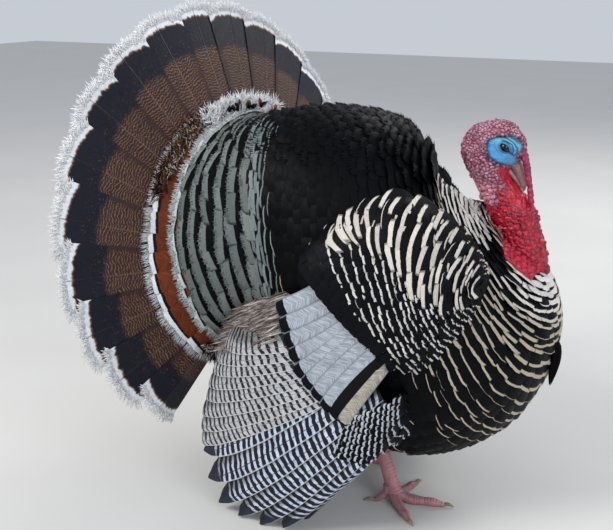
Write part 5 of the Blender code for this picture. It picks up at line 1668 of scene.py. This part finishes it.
FACE = np.array([(-0.0225, 0.0125), (-0.008, 0.0165), (0.008, 0.0168), (0.018, 0.0125), (0.0245, 0.002), (0.0240, -0.0085), (0.0180, -0.0110), (0.0190, -0.0200),
                 (0.0140, -0.0310), (0.0060, -0.0290), (-0.0130, -0.0215), (-0.0215, -0.0150), (-0.0265, -0.0035), (-0.0265, 0.0060)])


def outline_distance(x, y, poly):
    """Signed distance to a closed outline, negative inside."""
    best = np.full(np.shape(x), 1e9)
    inside = np.zeros(np.shape(x), bool)
    for (x0, y0), (x1, y1) in zip(poly, np.roll(poly, -1, 0)):
        dx, dy = x1 - x0, y1 - y0
        t = np.clip(((x - x0) * dx + (y - y0) * dy) / (dx * dx + dy * dy), 0, 1)
        best = np.minimum(best, np.hypot(x - x0 - t * dx, y - y0 - t * dy))
        cross = (y0 > y) != (y1 > y)
        inside ^= cross & (x < dx * (y - y0) / np.where(dy == 0, 1e-12, dy) + x0)
    return np.where(inside, -best, best)


def head_zones(loc):
    """Weights by place on the head: (face, throat, crown, nape, size of the caruncles)."""
    p, q, z = loc[..., 0], loc[..., 1], loc[..., 2]
    aq = np.abs(q)
    # the front line of the neck, and how far in front of the middle a point lies
    rows = np.asarray(NECK)
    zz = (rows[:, 1] + rows[:, 3]) / 2
    mid = np.interp(z, zz, (rows[:, 0] + rows[:, 2]) / 2)
    fore = np.interp(z, zz, (rows[:, 2] - rows[:, 0]) / 2)
    ahead = (p - mid) / fore
    wob = 0.004 * NOISE(loc, 90.0, 2)
    # the bare patch round the eye, as a closed outline; face is the distance outside it
    face = outline_distance(p - EYE_P + wob * 0.25, z - EYE_Z + wob * 0.25, FACE)
    inside = 1 - step_between(face, -0.0012, 0.0008)
    inside = inside * step_between(aq, 0.008, 0.014)
    behind = step_between(-ahead, -0.10, 0.30)
    red = 1 - step_between(z + 0.30 * (p - 0.01) * (z > 0.55) + 0.024 * behind + wob * 1.2, 0.535, 0.552)
    red = np.maximum(red, (1 - step_between(z + wob, 0.566, 0.584)) * step_between(ahead, 0.30, 0.62))
    red = red * (1 - inside)
    nape = (1 - red) * (1 - inside) * step_between(-ahead, -0.1, 0.4) * (1 - step_between(z, 0.548, 0.566))
    size = np.interp(z, [0.38, 0.42, 0.47, 0.52, 0.56, 0.60], [0.0104, 0.0098, 0.0082, 0.0066, 0.0056, 0.0047])
    size = size + 0.0030 * nape
    smooth = step_between(ahead, 0.05, 0.5) * step_between(z, 0.505, 0.530) * (1 - step_between(z, 0.585, 0.60))     # throat by the bill
    return inside, red, nape, size, smooth, face, ahead


def head_and_neck():
    rng = np.random.default_rng(61)
    n_a, n_b = 320, 236
    angles = np.arange(n_b) * 2 * PI / n_b
    rows = smooth_through(np.array(NECK), n_a)
    local = []
    for bx, bz, fx, fz, w in rows:
        local.append(oval(((bx + fx) / 2, 0, (bz + fz) / 2), (0, w, 0), ((fx - bx) / 2, 0, (fz - bz) / 2), angles, 2.1))
    last = local[-1]
    mid = last.mean(0)
    up = unit(np.cross(last[n_b // 4] - mid, last[0] - mid))
    up = up if up[2] > 0 else -up
    for share, rise in ((0.86, 0.0016), (0.68, 0.0029), (0.46, 0.0038), (0.22, 0.0043)):
        local.append(mid + (last - mid) * share + up * rise)
    local = np.array(local)
    ch = Chart(local, True)
    flat = local.reshape(-1, 3)
    normal = ch.n.reshape(-1, 3)
    inside, red, nape, size, smooth, face, ahead = head_zones(flat)
    # seeds of the caruncles, spaced by their size
    seeds, radii = [], []
    order = rng.permutation(len(flat))
    tree_cells = {}
    for i in order:
        if inside[i] > 0.5 or (smooth[i] > 0.6 and red[i] > 0.5):
            continue
        s = size[i] * rng.uniform(0.66, 1.30)
        p = flat[i]
        key = tuple((p // 0.008).astype(int))
        ok = True
        for dx in (-1, 0, 1):
            for dy in (-1, 0, 1):
                for dz in (-1, 0, 1):
                    for q, t in tree_cells.get((key[0] + dx, key[1] + dy, key[2] + dz), ()):
                        if ((p - q) ** 2).sum() < (0.5 * (s + t)) ** 2 * 0.92:
                            ok = False
        if ok:
            tree_cells.setdefault(key, []).append((p, s))
            seeds.append(Vector(p))
            radii.append(s)
        if len(seeds) > 1500:
            break
    radii = np.array(radii)
    warp = np.stack([NOISE(flat + 0.31 * k, 330.0, 2) for k in (1, 2, 3)], -1) * (size * 0.36)[:, None]
    border, index, dist = cells([Vector(p) for p in flat + warp], seeds, radii)
    r = radii[index]
    pebble = np.sqrt(np.clip(border / (0.40 * r), 0, 1) * (2 - np.clip(border / (0.40 * r), 0, 1)))
    height = pebble * r * np.where(red > 0.5, 0.56, 0.56)
    seed_loc = np.array([tuple(s) for s in seeds])
    height = height * (0.60 + 0.75 * np.random.default_rng(5).random(len(seeds))[index]) + 0.0007 * NOISE(flat, 420.0, 2) * pebble
    plain = np.maximum(inside, smooth * red)
    bump = height * (1 - plain)
    wrinkle = NOISE(flat * np.array([1, 1, 1.0]), 260.0, 3) * 0.00045 + np.abs(NOISE(flat * np.array([0.6, 1, 2.2]), 120.0, 2)) * -0.0012
    streak = np.abs(NOISE(flat * np.array([1.0, 1.0, 0.30]), 170.0, 2))
    bump = bump + plain * wrinkle
    bump = bump - smooth * red * (1 - inside) * 0.0016 * (1 - streak * 2.0)
    # rim round the blue face
    rim = np.exp(-((face - 0.0022) / 0.0014) ** 2) * step_between(np.abs(flat[:, 1]), 0.010, 0.015)
    groove = np.exp(-((face + 0.0002) / 0.0012) ** 2) * step_between(np.abs(flat[:, 1]), 0.010, 0.015)
    bump = bump + 0.0010 * rim - 0.0012 * groove
    # painted shade: crease is how far the skin is darkened, between the caruncles, in the groove round the face and in
    # the wrinkles
    crease = np.clip(1 - pebble, 0, 1) * (1 - plain) + 0.55 * groove + 0.5 * plain * np.clip(-wrinkle / 0.0012, 0, 1)
    # ends: nothing may stand out of the neck's buried end
    row = np.repeat(np.arange(len(local)), n_b) / (len(local) - 1)
    bump = bump * step_between(row, 0.0, 0.02)
    bump = bump - 0.0009     # the pebbles' tops, not their feet, keep the head's size
    out = flat + normal * bump[:, None]
    # the brow, the lids and the opening over the eye
    fold_shade = np.zeros(len(flat))
    for s in (-1, 1):
        e = np.array((EYE_P, s * EYE_Q, EYE_Z))
        rel = flat - e
        side = (flat[:, 1] * s > 0.006)
        rho = np.hypot(rel[:, 0], rel[:, 2])
        tilt = math.radians(-40)
        ea = rel[:, 0] * math.cos(tilt) + rel[:, 2] * math.sin(tilt)
        eb = -rel[:, 0] * math.sin(tilt) + rel[:, 2] * math.cos(tilt)
        lids = np.sqrt((ea / 0.0074) ** 2 + (eb / 0.0050) ** 2)
        R = EYE_R
        ball = s * (e[1] * s + np.sqrt(np.maximum(R * R - rho**2, 0)))
        lid_q = np.abs(ball) + 0.0011 + 0.0006 * np.exp(-((lids - 1.22) / 0.16) ** 2) - 0.0006 * np.exp(-((lids - 1.62) / 0.13) ** 2)
        over = 1 - step_between(rho, 0.0072, 0.0120)
        qn = np.abs(out[:, 1])
        lidded = qn * (1 - over) + np.maximum(qn, lid_q) * over
        upper = step_between(ea * 0.20 + eb, 0.0002, 0.0044)
        lower = step_between(-eb, 0.002, 0.006) * (1 - step_between(ea, 0.002, 0.008))
        bent = lids + 0.42 * NOISE(flat, 105.0, 2)
        waves = np.exp(-((bent - 1.90) / 0.20) ** 2) + 0.95 * np.exp(-((bent - 2.80) / 0.24) ** 2) + 0.85 * np.exp(-((bent - 3.75) / 0.27) ** 2)
        bag = np.exp(-((lids - 2.30) / 0.16) ** 2)
        corner = np.exp(-(((eb + 0.0012) / 0.0016) ** 2)) * step_between(ea, 0.006, 0.009) * (1 - step_between(ea, 0.015, 0.020))
        fold = -0.0017 * waves * upper + 0.0004 * upper - 0.0008 * bag * lower - 0.0012 * corner + 0.0005 * np.exp(-((lids - 2.28) / 0.16) ** 2) * upper
        lidded = lidded + fold * (rho < 0.022)
        hole = 1 - step_between(lids, 0.90, 1.10)
        lidded = lidded * (1 - hole) + (np.abs(ball) - 0.0022) * hole
        out[:, 1] = np.where(side & (rho < 0.022), s * lidded, out[:, 1])
        # painted shade in the folds round the eye, at its corner and in its opening
        crease = np.where(side & (rho < 0.020), np.clip(0.8 * np.exp(-((lids - 1.55) / 0.12) ** 2) * (0.4 + 0.6 * upper) + 0.95 * waves * upper + 0.55 * bag * lower
                          + 1.0 * corner + 1.0 * hole, 0, 1), crease)
        fold_shade = np.maximum(fold_shade, side * (rho < 0.022) * np.clip(0.75 * waves * upper + 0.9 * corner + (1 - step_between(lids, 1.15, 1.75)) * 0.8, 0, 1))
        # ear, its dip darkened as painted shade
        ear = np.hypot(flat[:, 0] - (EYE_P - 0.0235), (flat[:, 2] - (EYE_Z - 0.019)) * 0.8)
        dip = np.exp(-(ear / 0.0022) ** 2) * side
        out[:, 1] -= s * 0.0025 * dip
        crease = np.maximum(crease, 0.9 * dip)
    out[:, 0] += 0.0085 * np.exp(-((flat[:, 2] - 0.528) / 0.024) ** 2) * step_between(ahead, -0.1, 0.9)
    out[:, 2] -= 0.003 * np.exp(-((flat[:, 2] - 0.528) / 0.024) ** 2) * step_between(ahead, -0.1, 0.9)
    world = head_frame(out[:, 0], out[:, 1], out[:, 2]).reshape(len(local), n_b, 3)
    loc = flat
    # colours
    mauve = srgb(108, 36, 68) * (1 + 0.16 * NOISE(loc, 60.0, 2))[:, None]
    pink = srgb(186, 112, 128) * (1 + 0.10 * NOISE(loc, 70.0, 2))[:, None]
    tone = np.random.default_rng(8).uniform(0.66, 1.28, len(seeds))[index][:, None]
    crimson = (srgb(178, 12, 50) * (1 - 0.5 * smooth[:, None]) + srgb(196, 8, 40) * 0.5 * smooth[:, None]) * (0.9 + 0.22 * NOISE(loc, 50.0, 2))[:, None]
    blue = srgb(76, 152, 204) * (1 + 0.18 * NOISE(loc, 80.0, 2))[:, None]
    lilac = (step_between(face, -0.0065, -0.0005) * (1 - step_between(loc[:, 0] - EYE_P, -0.004, 0.012)))[:, None]
    blue = blue * (1 - 0.5 * lilac) + srgb(44, 74, 160) * 0.5 * lilac
    # partly its own turquoise, partly painted light: the upper front of the blue face is paler
    lit_turquoise = (step_between(loc[:, 2] - EYE_Z + 0.4 * (loc[:, 0] - EYE_P), -0.004, 0.012))[:, None]
    blue = blue * (1 - 0.75 * lit_turquoise) + srgb(112, 204, 224) * 0.75 * lit_turquoise
    # painted shade: dark navy in the folds over the eye, along the streak from its corner and round its opening
    blue = blue * (1 - 0.72 * fold_shade[:, None]) + srgb(18, 28, 84) * 0.72 * fold_shade[:, None]
    warm = np.clip(np.random.default_rng(9).uniform(-0.6, 1.0, len(seeds)), 0, 1)[index][:, None]
    mauve = mauve * (1 - 0.7 * warm) + srgb(156, 36, 68) * 0.7 * warm
    col = mauve * (1 - nape[:, None]) + pink * nape[:, None]
    col = col * (1 - red[:, None]) + crimson * red[:, None]
    col = col * np.where(plain[:, None] > 0.5, 1, tone)
    col = col * (1 - inside[:, None]) + blue * inside[:, None]
    # painted shade: a dark navy line in the groove round the blue face, widest at its back
    dark = (0.95 * np.exp(-((face - 0.0004) / (0.0026 - 0.0010 * step_between(loc[:, 0] - EYE_P, -0.004, 0.012))) ** 2) * step_between(np.abs(loc[:, 1]), 0.010, 0.015) * (1 - 0.6 * step_between(loc[:, 0] - EYE_P, 0.0, 0.02)))[:, None]
    col = col * (1 - dark) + srgb(30, 26, 66) * dark
    # painted highlight: pale pink tops on the caruncles of the crown and nape
    top = (np.clip(pebble * 2.2 - 1.3, 0, 1) * np.clip(0.6 + 1.2 * NOISE(flat, 210.0, 2), 0, 1))[:, None] * (1 - plain[:, None]) * (1 - red[:, None])
    col = col * (1 - 0.46 * top) + srgb(236, 196, 214) * 0.52 * top
    # the bare skin round the eye is darker at its very edge: the painted shade of the line above
    wet = 0.4 + 0.4 * red
    return world, np.clip(col, 0, 1), np.stack([np.ones(len(col)), np.clip(crease, 0, 1), wet], -1)


def snood_rings():
    pts = [(.021, 0, .609), (.0300, -.004, .605), (.0384, -.0115, .588), (.0450, -.0150, .563), (.0500, -.0155, .534), (.0540, -.016, .508), (.0570, -.016, .489)]
    rad = [.0066, .0072, .0070, .0061, .0051, .0046, .0045, .0043, .0037, .0020]
    n = 150
    path = smooth_through([head_frame(*p) for p in pts], n)
    radii = np.interp(np.linspace(0, 1, n), np.linspace(0, 1, len(rad)), rad)
    rings = tube_rings(path, radii - 0.0002, 40)
    ch = Chart(rings, True)
    s = np.linspace(0, 1, n)[:, None]
    ridge = 0.00035 * np.sin(s * 2 * PI * 21 + 2.2 * NOISE(rings * 1.0, 60.0, 1)) + 0.0016 * NOISE(rings, 130.0, 3) + 0.0005 * NOISE(rings, 380.0, 2)
    rings = ch.p + ch.n * ridge[..., None]
    end = rings[-1]
    mid = end.mean(0)
    way = unit(path[-1] - path[-4])
    extra = [mid + (end - mid) * f + way * g for f, g in ((0.8, 0.0010), (0.45, 0.0019))]
    return np.concatenate([rings, np.array(extra)])


def scuted_tube(path, radii, count, pitch, depth, flat, n, side=(0, 1, 0), front=None, turn=0.0):
    """A leg or toe: overlapping plates in front (or on top) and small scales behind."""
    fine = smooth_through(path, n)
    rr = np.interp(np.linspace(0, 1, n), np.linspace(0, 1, len(radii)), radii)
    rings = tube_rings(fine, rr, count, flat=flat, side=side, turn=turn)
    ch = Chart(rings, True)
    s = np.concatenate([[0], np.cumsum(np.linalg.norm(np.diff(fine, axis=0), axis=1))])
    face = (ch.n * np.asarray(front, float)).sum(-1) if front is not None else np.zeros(rings.shape[:2])
    on = step_between(face, -0.05, 0.35)
    saw = (s / pitch) % 1
    plate = depth * (0.9 - saw) * step_between(saw, 0.0, 0.16)
    mid = np.abs(ch.n[..., 1]) if front is not None and abs(front[0]) > 0.5 else np.abs(np.cross(ch.n, unit(np.asarray(front, float) + 1e-9))[..., 2])
    centre = depth * 0.8 * np.exp(-(np.abs((ch.n * np.asarray(side, float)).sum(-1)) / 0.10) ** 2) * on
    small = depth * 0.5 * (np.sin(rings[..., 0] * 2 * PI / 0.0042) * np.sin(rings[..., 2] * 2 * PI / 0.0040) * np.sin(rings[..., 1] * 2 * PI / 0.0044))
    h = on * plate[:, None] - centre * 0.6 + (1 - on) * small - depth * 0.4
    # painted shade: how much the creases between the scales are darkened
    crease_shade = np.clip(on * (1 - step_between(saw, 0.02, 0.20))[:, None] + on * np.exp(-(np.abs((ch.n * np.asarray(side, float)).sum(-1)) / 0.10) ** 2) * 0.6
                  + (1 - on) * np.clip(-small / depth * 1.5, 0, 1), 0, 1)
    return ch.p + ch.n * h[..., None], crease_shade


def leg_parts(foot, side):
    """Tubes of a shank and its toes, with the depth of their creases."""
    fx, fy, heading = foot
    joint = np.array((fx, fy, 0.024))
    hock = np.array((fx - 0.044, fy * 1.04, 0.150))
    c, s = math.cos(heading), math.sin(heading)
    ahead, across = (c, s, 0), np.array((-s, c, 0))
    out = []
    path = [hock, (hock + joint) / 2 + (0.002, 0, 0), joint + (0, 0, 0.002), joint + (0.004, 0, -0.010)]
    out.append(scuted_tube(path, [0.0105, 0.0098, 0.0093, 0.0098, 0.0116, 0.0098], 64, 0.0062, 0.0010, 1.25, 170, side=across, front=ahead))
    for name, (length, angle, r) in TOES.items():
        a = heading + math.radians(angle) * side
        d = np.array((math.cos(a), math.sin(a), 0.0))
        if name == "hind":
            at = joint + np.array((-0.004, 0.004 * side, 0.006 - 0.010))
            start = joint + np.array((-0.004, 0.004 * side, 0.006))
        else:
            start = joint + np.array((0, 0, -0.010))
        under = 0.92 * math.cos(PI / 8)
        pts, rad = [start + d * 0.004], [r * 1.30]
        for share, swell in ((0.42, 1.05), (0.78, 0.92), (1.0, 0.56)):
            lift = 0.0085 if name == "hind" and share < 0.5 else -0.0006
            p = np.array((fx, fy, 0.0)) + d * length * share
            p[2] = r * swell * under + lift
            pts.append(p)
            rad.append(r * swell)
        # joints of the toe swell a little
        k = np.linspace(0, 1, 13)
        rr = np.interp(k, np.linspace(0, 1, 4), rad)
        joints = 1 + 0.09 * np.cos(k * 2 * PI * (3 if length > 0.05 else 2)) * np.clip(k * 4, 0, 1) * np.clip((1 - k) * 4, 0, 1)
        sidevec = np.array((-d[1], d[0], 0))
        rings, crease_shade = scuted_tube(pts, rr * joints, 44, 0.0046, 0.0009, 0.92, int(40 + length * 900), side=sidevec, front=(0, 0, 1))
        end = rings[-1]
        mid = end.mean(0)
        rings = np.concatenate([rings, [mid + (end - mid) * 0.7 + d * 0.0012], [mid + (end - mid) * 0.35 + d * 0.0019]])
        crease_shade = np.concatenate([crease_shade, crease_shade[-1:], crease_shade[-1:]])
        rings[..., 2] = np.where(rings[..., 2] < 0.0, rings[..., 2] * 0.0, rings[..., 2])
        out.append((rings, crease_shade))
    return out


def horn_tube(name, pts, radii, count, flat, n, material, nodes, ridge=0.0, side=(0, 1, 0), blunt=0.25, floor=False, shape=None):
    fine = smooth_through(pts, n)
    rr = np.interp(np.linspace(0, 1, n), np.linspace(0, 1, len(radii)), radii)
    rings = tube_rings(fine, rr, count, flat=flat, side=side)
    ch = Chart(rings, True)
    h = ridge * NOISE(rings * np.array([1, 1, 1]), 200.0, 2)
    rings = ch.p + ch.n * h[..., None]
    if shape is not None:
        rings = shape(rings, ch)
    end = rings[-1]
    mid = end.mean(0)
    way = unit(fine[-1] - fine[-3])
    rings = np.concatenate([rings, [mid + (end - mid) * 0.6 + way * rr[-1] * blunt * 2]])
    if floor:
        rings[..., 2] = np.maximum(rings[..., 2], 0.0)
    me = rings_mesh(name, rings)
    smooth_faces(me)
    me.materials.append(material)
    ob = temp_object(me)
    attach(ob, "root")
    if nodes:
        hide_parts(*nodes)
    return ob


def bare_collar():
    """The wattle's foot on the chest, bare down to where the feathers begin."""
    rng = np.random.default_rng(63)
    angles = np.arange(300) * 2 * PI / 300
    rows = smooth_through(TRUNK, 221)
    ch = Chart(np.array([trunk_ring(r, angles) for r in rows]), True)
    grid, nrm = ch.p[6:46], ch.n[6:46]            # stations 0.3 to 2.2
    share = np.linspace(0, 1, 76)
    pick = share * (len(grid) - 1)
    i = np.minimum(pick.astype(int), len(grid) - 2)
    g = (pick - i)[:, None, None]
    p, n = grid[i] * (1 - g) + grid[i + 1] * g, unit(nrm[i] * (1 - g) + nrm[i + 1] * g)
    flat = p.reshape(-1, 3)
    seeds = []
    for k in rng.permutation(len(flat)):
        q = flat[k]
        if all(((q - t) ** 2).sum() > 0.0086**2 for t in seeds):
            seeds.append(q)
        if len(seeds) > 420:
            break
    warp = np.stack([NOISE(flat + 0.37 * k, 300.0, 2) for k in (1, 2, 3)], -1) * 0.0022
    border, index, dist = cells([Vector(q) for q in flat + warp], [Vector(q) for q in seeds], None)
    x = np.clip(border / 0.0044, 0, 1)
    pebble = np.sqrt(x * (2 - x))
    size = np.random.default_rng(3).uniform(0.7, 1.25, len(seeds))[index]
    bump = -0.0052 + 0.0050 * pebble * size + 0.0005 * NOISE(flat, 420.0, 2) * pebble
    pos = (0.3 + pick * 0.05)[:, None]
    start = np.interp(np.minimum(angles, 2 * PI - angles), COLLAR_AT, COLLAR)[None, :]
    bump -= 0.0105 * step_between(pos - start, -0.34, -0.10).ravel()
    out = (flat + n.reshape(-1, 3) * bump[:, None]).reshape(p.shape)
    tone = np.random.default_rng(4).uniform(0.72, 1.25, len(seeds))[index][:, None]
    col = srgb(188, 16, 52) * tone * (0.9 + 0.22 * NOISE(flat, 50.0, 2))[:, None]
    # painted shade in the creases between the collar's caruncles
    fw = np.stack([np.ones(len(flat)), 1 - pebble, np.full(len(flat), 0.8)], -1)
    first, last = out[0] - n[0] * 0.010, out[-1] - n[-1] * 0.012
    return out, np.clip(col, 0, 1), fw, np.concatenate([first[None], out, last[None]])


def make_flesh():
    skin = flesh_under_coat()
    collar, ccol, cfw, rings = bare_collar()
    union(skin, rings_mesh("w", rings))
    world, col, fw = head_and_neck()
    known = [(world.reshape(-1, 3), col, fw), (collar.reshape(-1, 3), ccol, cfw)]
    union(skin, rings_mesh("h", world))
    sn = snood_rings()
    flat = sn.reshape(-1, 3)
    loc = head_local(flat)
    z = np.asarray(loc[2])
    deep = (1 - step_between(z, 0.520, 0.600))[:, None]
    sc = (srgb(138, 44, 82) * (1 - deep) + srgb(160, 26, 62) * deep) * (1 + 0.16 * NOISE(flat, 120.0, 2))[:, None]
    # painted shade in the snood's wrinkles
    wrinkle_shade = np.clip(0.5 - NOISE(flat, 150.0, 3), 0, 1) * 0.5
    known.append((flat, np.clip(sc, 0, 1), np.stack([np.ones(len(flat)), wrinkle_shade, np.full(len(flat), 0.6)], -1)))
    union(skin, rings_mesh("n", sn))
    rng = np.random.default_rng(67)
    for foot, side in ((FOOT_R, -1), (FOOT_L, 1)):
        ob = None
        for rings, crease_shade in leg_parts(foot, side):
            flat = rings.reshape(-1, 3)
            c = crease_shade.reshape(-1)
            lc = srgb(176, 122, 124) * (1 + 0.12 * NOISE(flat, 90.0, 2))[:, None]
            grey = step_between(NOISE(flat, 40.0, 2), -0.2, 0.5)[:, None] * 0.5
            lc = lc * (1 - grey) + srgb(120, 98, 106) * grey
            known.append((flat, np.clip(lc, 0, 1), np.stack([np.ones(len(flat)), c * 0.8, np.full(len(flat), 0.2)], -1)))
            if ob is None:
                ob = temp_object(rings_mesh("leg", rings))
            else:
                union(ob, rings_mesh("toe", rings))
        union(skin, ob.data)
        bpy.data.objects.remove(ob, do_unlink=True)
    me = skin.data
    skin.name = "skin"
    me.name = "skin"
    pts = mesh_points(me)
    allp = np.concatenate([k[0] for k in known])
    allc = np.concatenate([k[1] for k in known])
    allw = np.concatenate([k[2] for k in known])
    tree = KDTree(len(allp))
    for i, p in enumerate(allp):
        tree.insert(p, i)
    tree.balance()
    idx, dist = np.empty(len(pts), int), np.empty(len(pts))
    for i, p in enumerate(pts):
        _, idx[i], dist[i] = tree.find(p)
    own = dist < 0.0012
    c1 = np.where(own[:, None], allc[idx], srgb(11, 11, 14)[None] * (1 + 0.25 * NOISE(pts, 40.0, 2))[:, None])
    fw = np.where(own[:, None], allw[idx], np.array([0.0, 0.2, 0.0]))
    set_attr(me, "c1", np.clip(c1, 0, 1))
    set_attr(me, "fw", fw)
    smooth_faces(me)
    me.materials.clear()
    me.materials.append(skin_material())
    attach(skin, "root")
    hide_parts("trunk", "tail_coverts", "undertail_coverts", "wing_R_shoulder", "wing_L_shoulder", "thigh_R", "thigh_L", "neck", "head", "snood", "leg_R", "leg_L")
    TRIANGLES["skin"] = sum(len(p.vertices) - 2 for p in me.polygons)
    return skin


def make_horn_parts():
    bill_mat = horn_material("bill_horn", srgb(112, 88, 94), srgb(186, 152, 146), 0.34)
    claw_mat = horn_material("claw_horn", srgb(96, 78, 66), srgb(168, 150, 128), 0.42)
    up = [head_frame(p, 0, z) for p, z in ((.008, .590), (.012, .588), (.0250, .576), (.0340, .560), (.0385, .546), (.0390, .5362))]

    def beak(rings, ch):
        # nostrils near the base, and a ridge along the top
        loc = np.stack(head_local(rings), -1)
        d = np.hypot(loc[..., 0] - 0.0245, loc[..., 2] - 0.5785)
        rings = rings - ch.n * (0.0016 * np.exp(-(d / 0.0020) ** 2) * (np.abs(loc[..., 1]) > 0.002))[..., None]
        line = np.arange(rings.shape[0]) / rings.shape[0]
        fine = 0.00018 * np.sin(line * 2 * PI * 9)[:, None]
        return rings + ch.n * (fine * np.ones(rings.shape[:2]))[..., None]

    head_side = unit(np.array(head_frame(0, 1, 0.58)) - np.array(head_frame(0, 0, 0.58)))
    horn_tube("bill_upper_horn", up, [.0104, .0104, .0098, .0086, .0068, .0046, .0013], 48, .98, 70, bill_mat, ["bill_upper"], 0.0002, side=head_side, shape=beak)
    low = [head_frame(p, 0, z) for p, z in ((.004, .5760), (.006, .5745), (.0190, .5625), (.0280, .5515), (.0350, .5415))]
    horn_tube("bill_lower_horn", low, [.0078, .0080, .0070, .0050, .0018], 40, .66, 50, bill_mat, ["bill_lower"], 0.0002, side=head_side)
    for tag, (foot, side) in {"R": (FOOT_R, -1), "L": (FOOT_L, 1)}.items():
        fx, fy, heading = foot
        joint = np.array((fx, fy, 0.024))
        hock = np.array((fx - 0.044, fy * 1.04, 0.150))
        for name, (length, angle, r) in TOES.items():
            a = heading + math.radians(angle) * side
            d = np.array((math.cos(a), math.sin(a), 0.0))
            under = 0.92 * math.cos(PI / 8)
            end = np.array((fx, fy, 0.0)) + d * length
            end[2] = r * 0.56 * under - 0.0006
            pts = [end - d * 0.001 + (0, 0, .0003), end + d * .004 + (0, 0, .0018), end + d * .008 + (0, 0, .0022), end + d * .0125 + (0, 0, .0006), end + d * .0160 - (0, 0, .0017)]
            horn_tube(f"claw_horn_{name}_{tag}", pts, [.0037, .0036, .0031, .0021, .0008], 28, .8, 26, claw_mat, [f"claw_{name}_{tag}"], 0.00015,
                      side=(-d[1], d[0], 0), floor=True)
        spur_at = hock * 0.38 + joint * 0.62
        back = np.array((-math.cos(heading), -math.sin(heading), 0))
        way = unit(back + (0, 0, 0.10))
        pts = [spur_at + way * .004, spur_at + way * .010, spur_at + way * .0165, spur_at + way * .0252 + (0, 0, .003)]
        horn_tube(f"spur_horn_{tag}", pts, [.0052, .0048, .0036, .0021, .0008], 28, 1.0, 26, claw_mat, [f"spur_{tag}"], 0.0002)


def make_eyes():
    mat = eye_material()
    for tag, s in (("R", -1), ("L", 1)):
        centre = np.array(head_frame(EYE_P, s * EYE_Q, EYE_Z))
        axis = unit(np.array(head_frame(EYE_P + 0.0012, s * (EYE_Q + 1), EYE_Z + 0.0)) - centre)
        ref = unit(np.cross(axis, (0, 0, 1)))
        other = np.cross(axis, ref)
        rings = []
        n = 34
        for lat in np.linspace(0.02, PI - 0.02, n):
            ang = np.arange(56) * 2 * PI / 56
            r = EYE_R * (1 + 0.030 * np.exp(-(lat / 0.42) ** 2)) - 0.0001
            rings.append(centre + r * (math.cos(lat) * axis + math.sin(lat) * (np.cos(ang)[:, None] * ref + np.sin(ang)[:, None] * other)))
        rings = np.array(rings)
        me = rings_mesh("e", rings)
        rel = mesh_points(me) - centre
        depth = rel @ axis
        ring = np.linalg.norm(rel - depth[:, None] * axis, axis=1) / EYE_R
        ring = np.where(depth > 0, ring, 1.2)
        set_attr(me, "fa", np.stack([ring, ring * 0, ring * 0], -1))
        smooth_faces(me)
        me.materials.append(mat)
        ob = temp_object(me)
        ob.name = "eyeball_" + tag
        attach(ob, "root")
        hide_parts("eye_" + tag)


# ================================================================ build
import time
_T = time.time()


def tick(what):
    print("TIME", what, round(time.time() - _T, 1), flush=True)


bpy.context.scene.view_settings.view_transform = "Standard"
make_camera()
make_stage()
make_flesh(); tick("flesh")
make_horn_parts()
make_eyes(); tick("horn and eyes")
fan = make_fan(); tick("fan")
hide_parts("tail_fan")
body_feathers(body_chart()); tick("body")
make_wings(); tick("wings")
for ob in bpy.data.objects:
    if ob.name in ("wing_quills_R", "wing_quills_L"):
        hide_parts(f"wing_{ob.name[-1]}_secondaries", f"wing_{ob.name[-1]}_primaries")
make_undertail()
make_thigh_coat()
make_beard(); tick("rest")
for key, value in TRIANGLES.items():
    print("TRIS", key, value)
print("TRIS total", sum(TRIANGLES.values()))
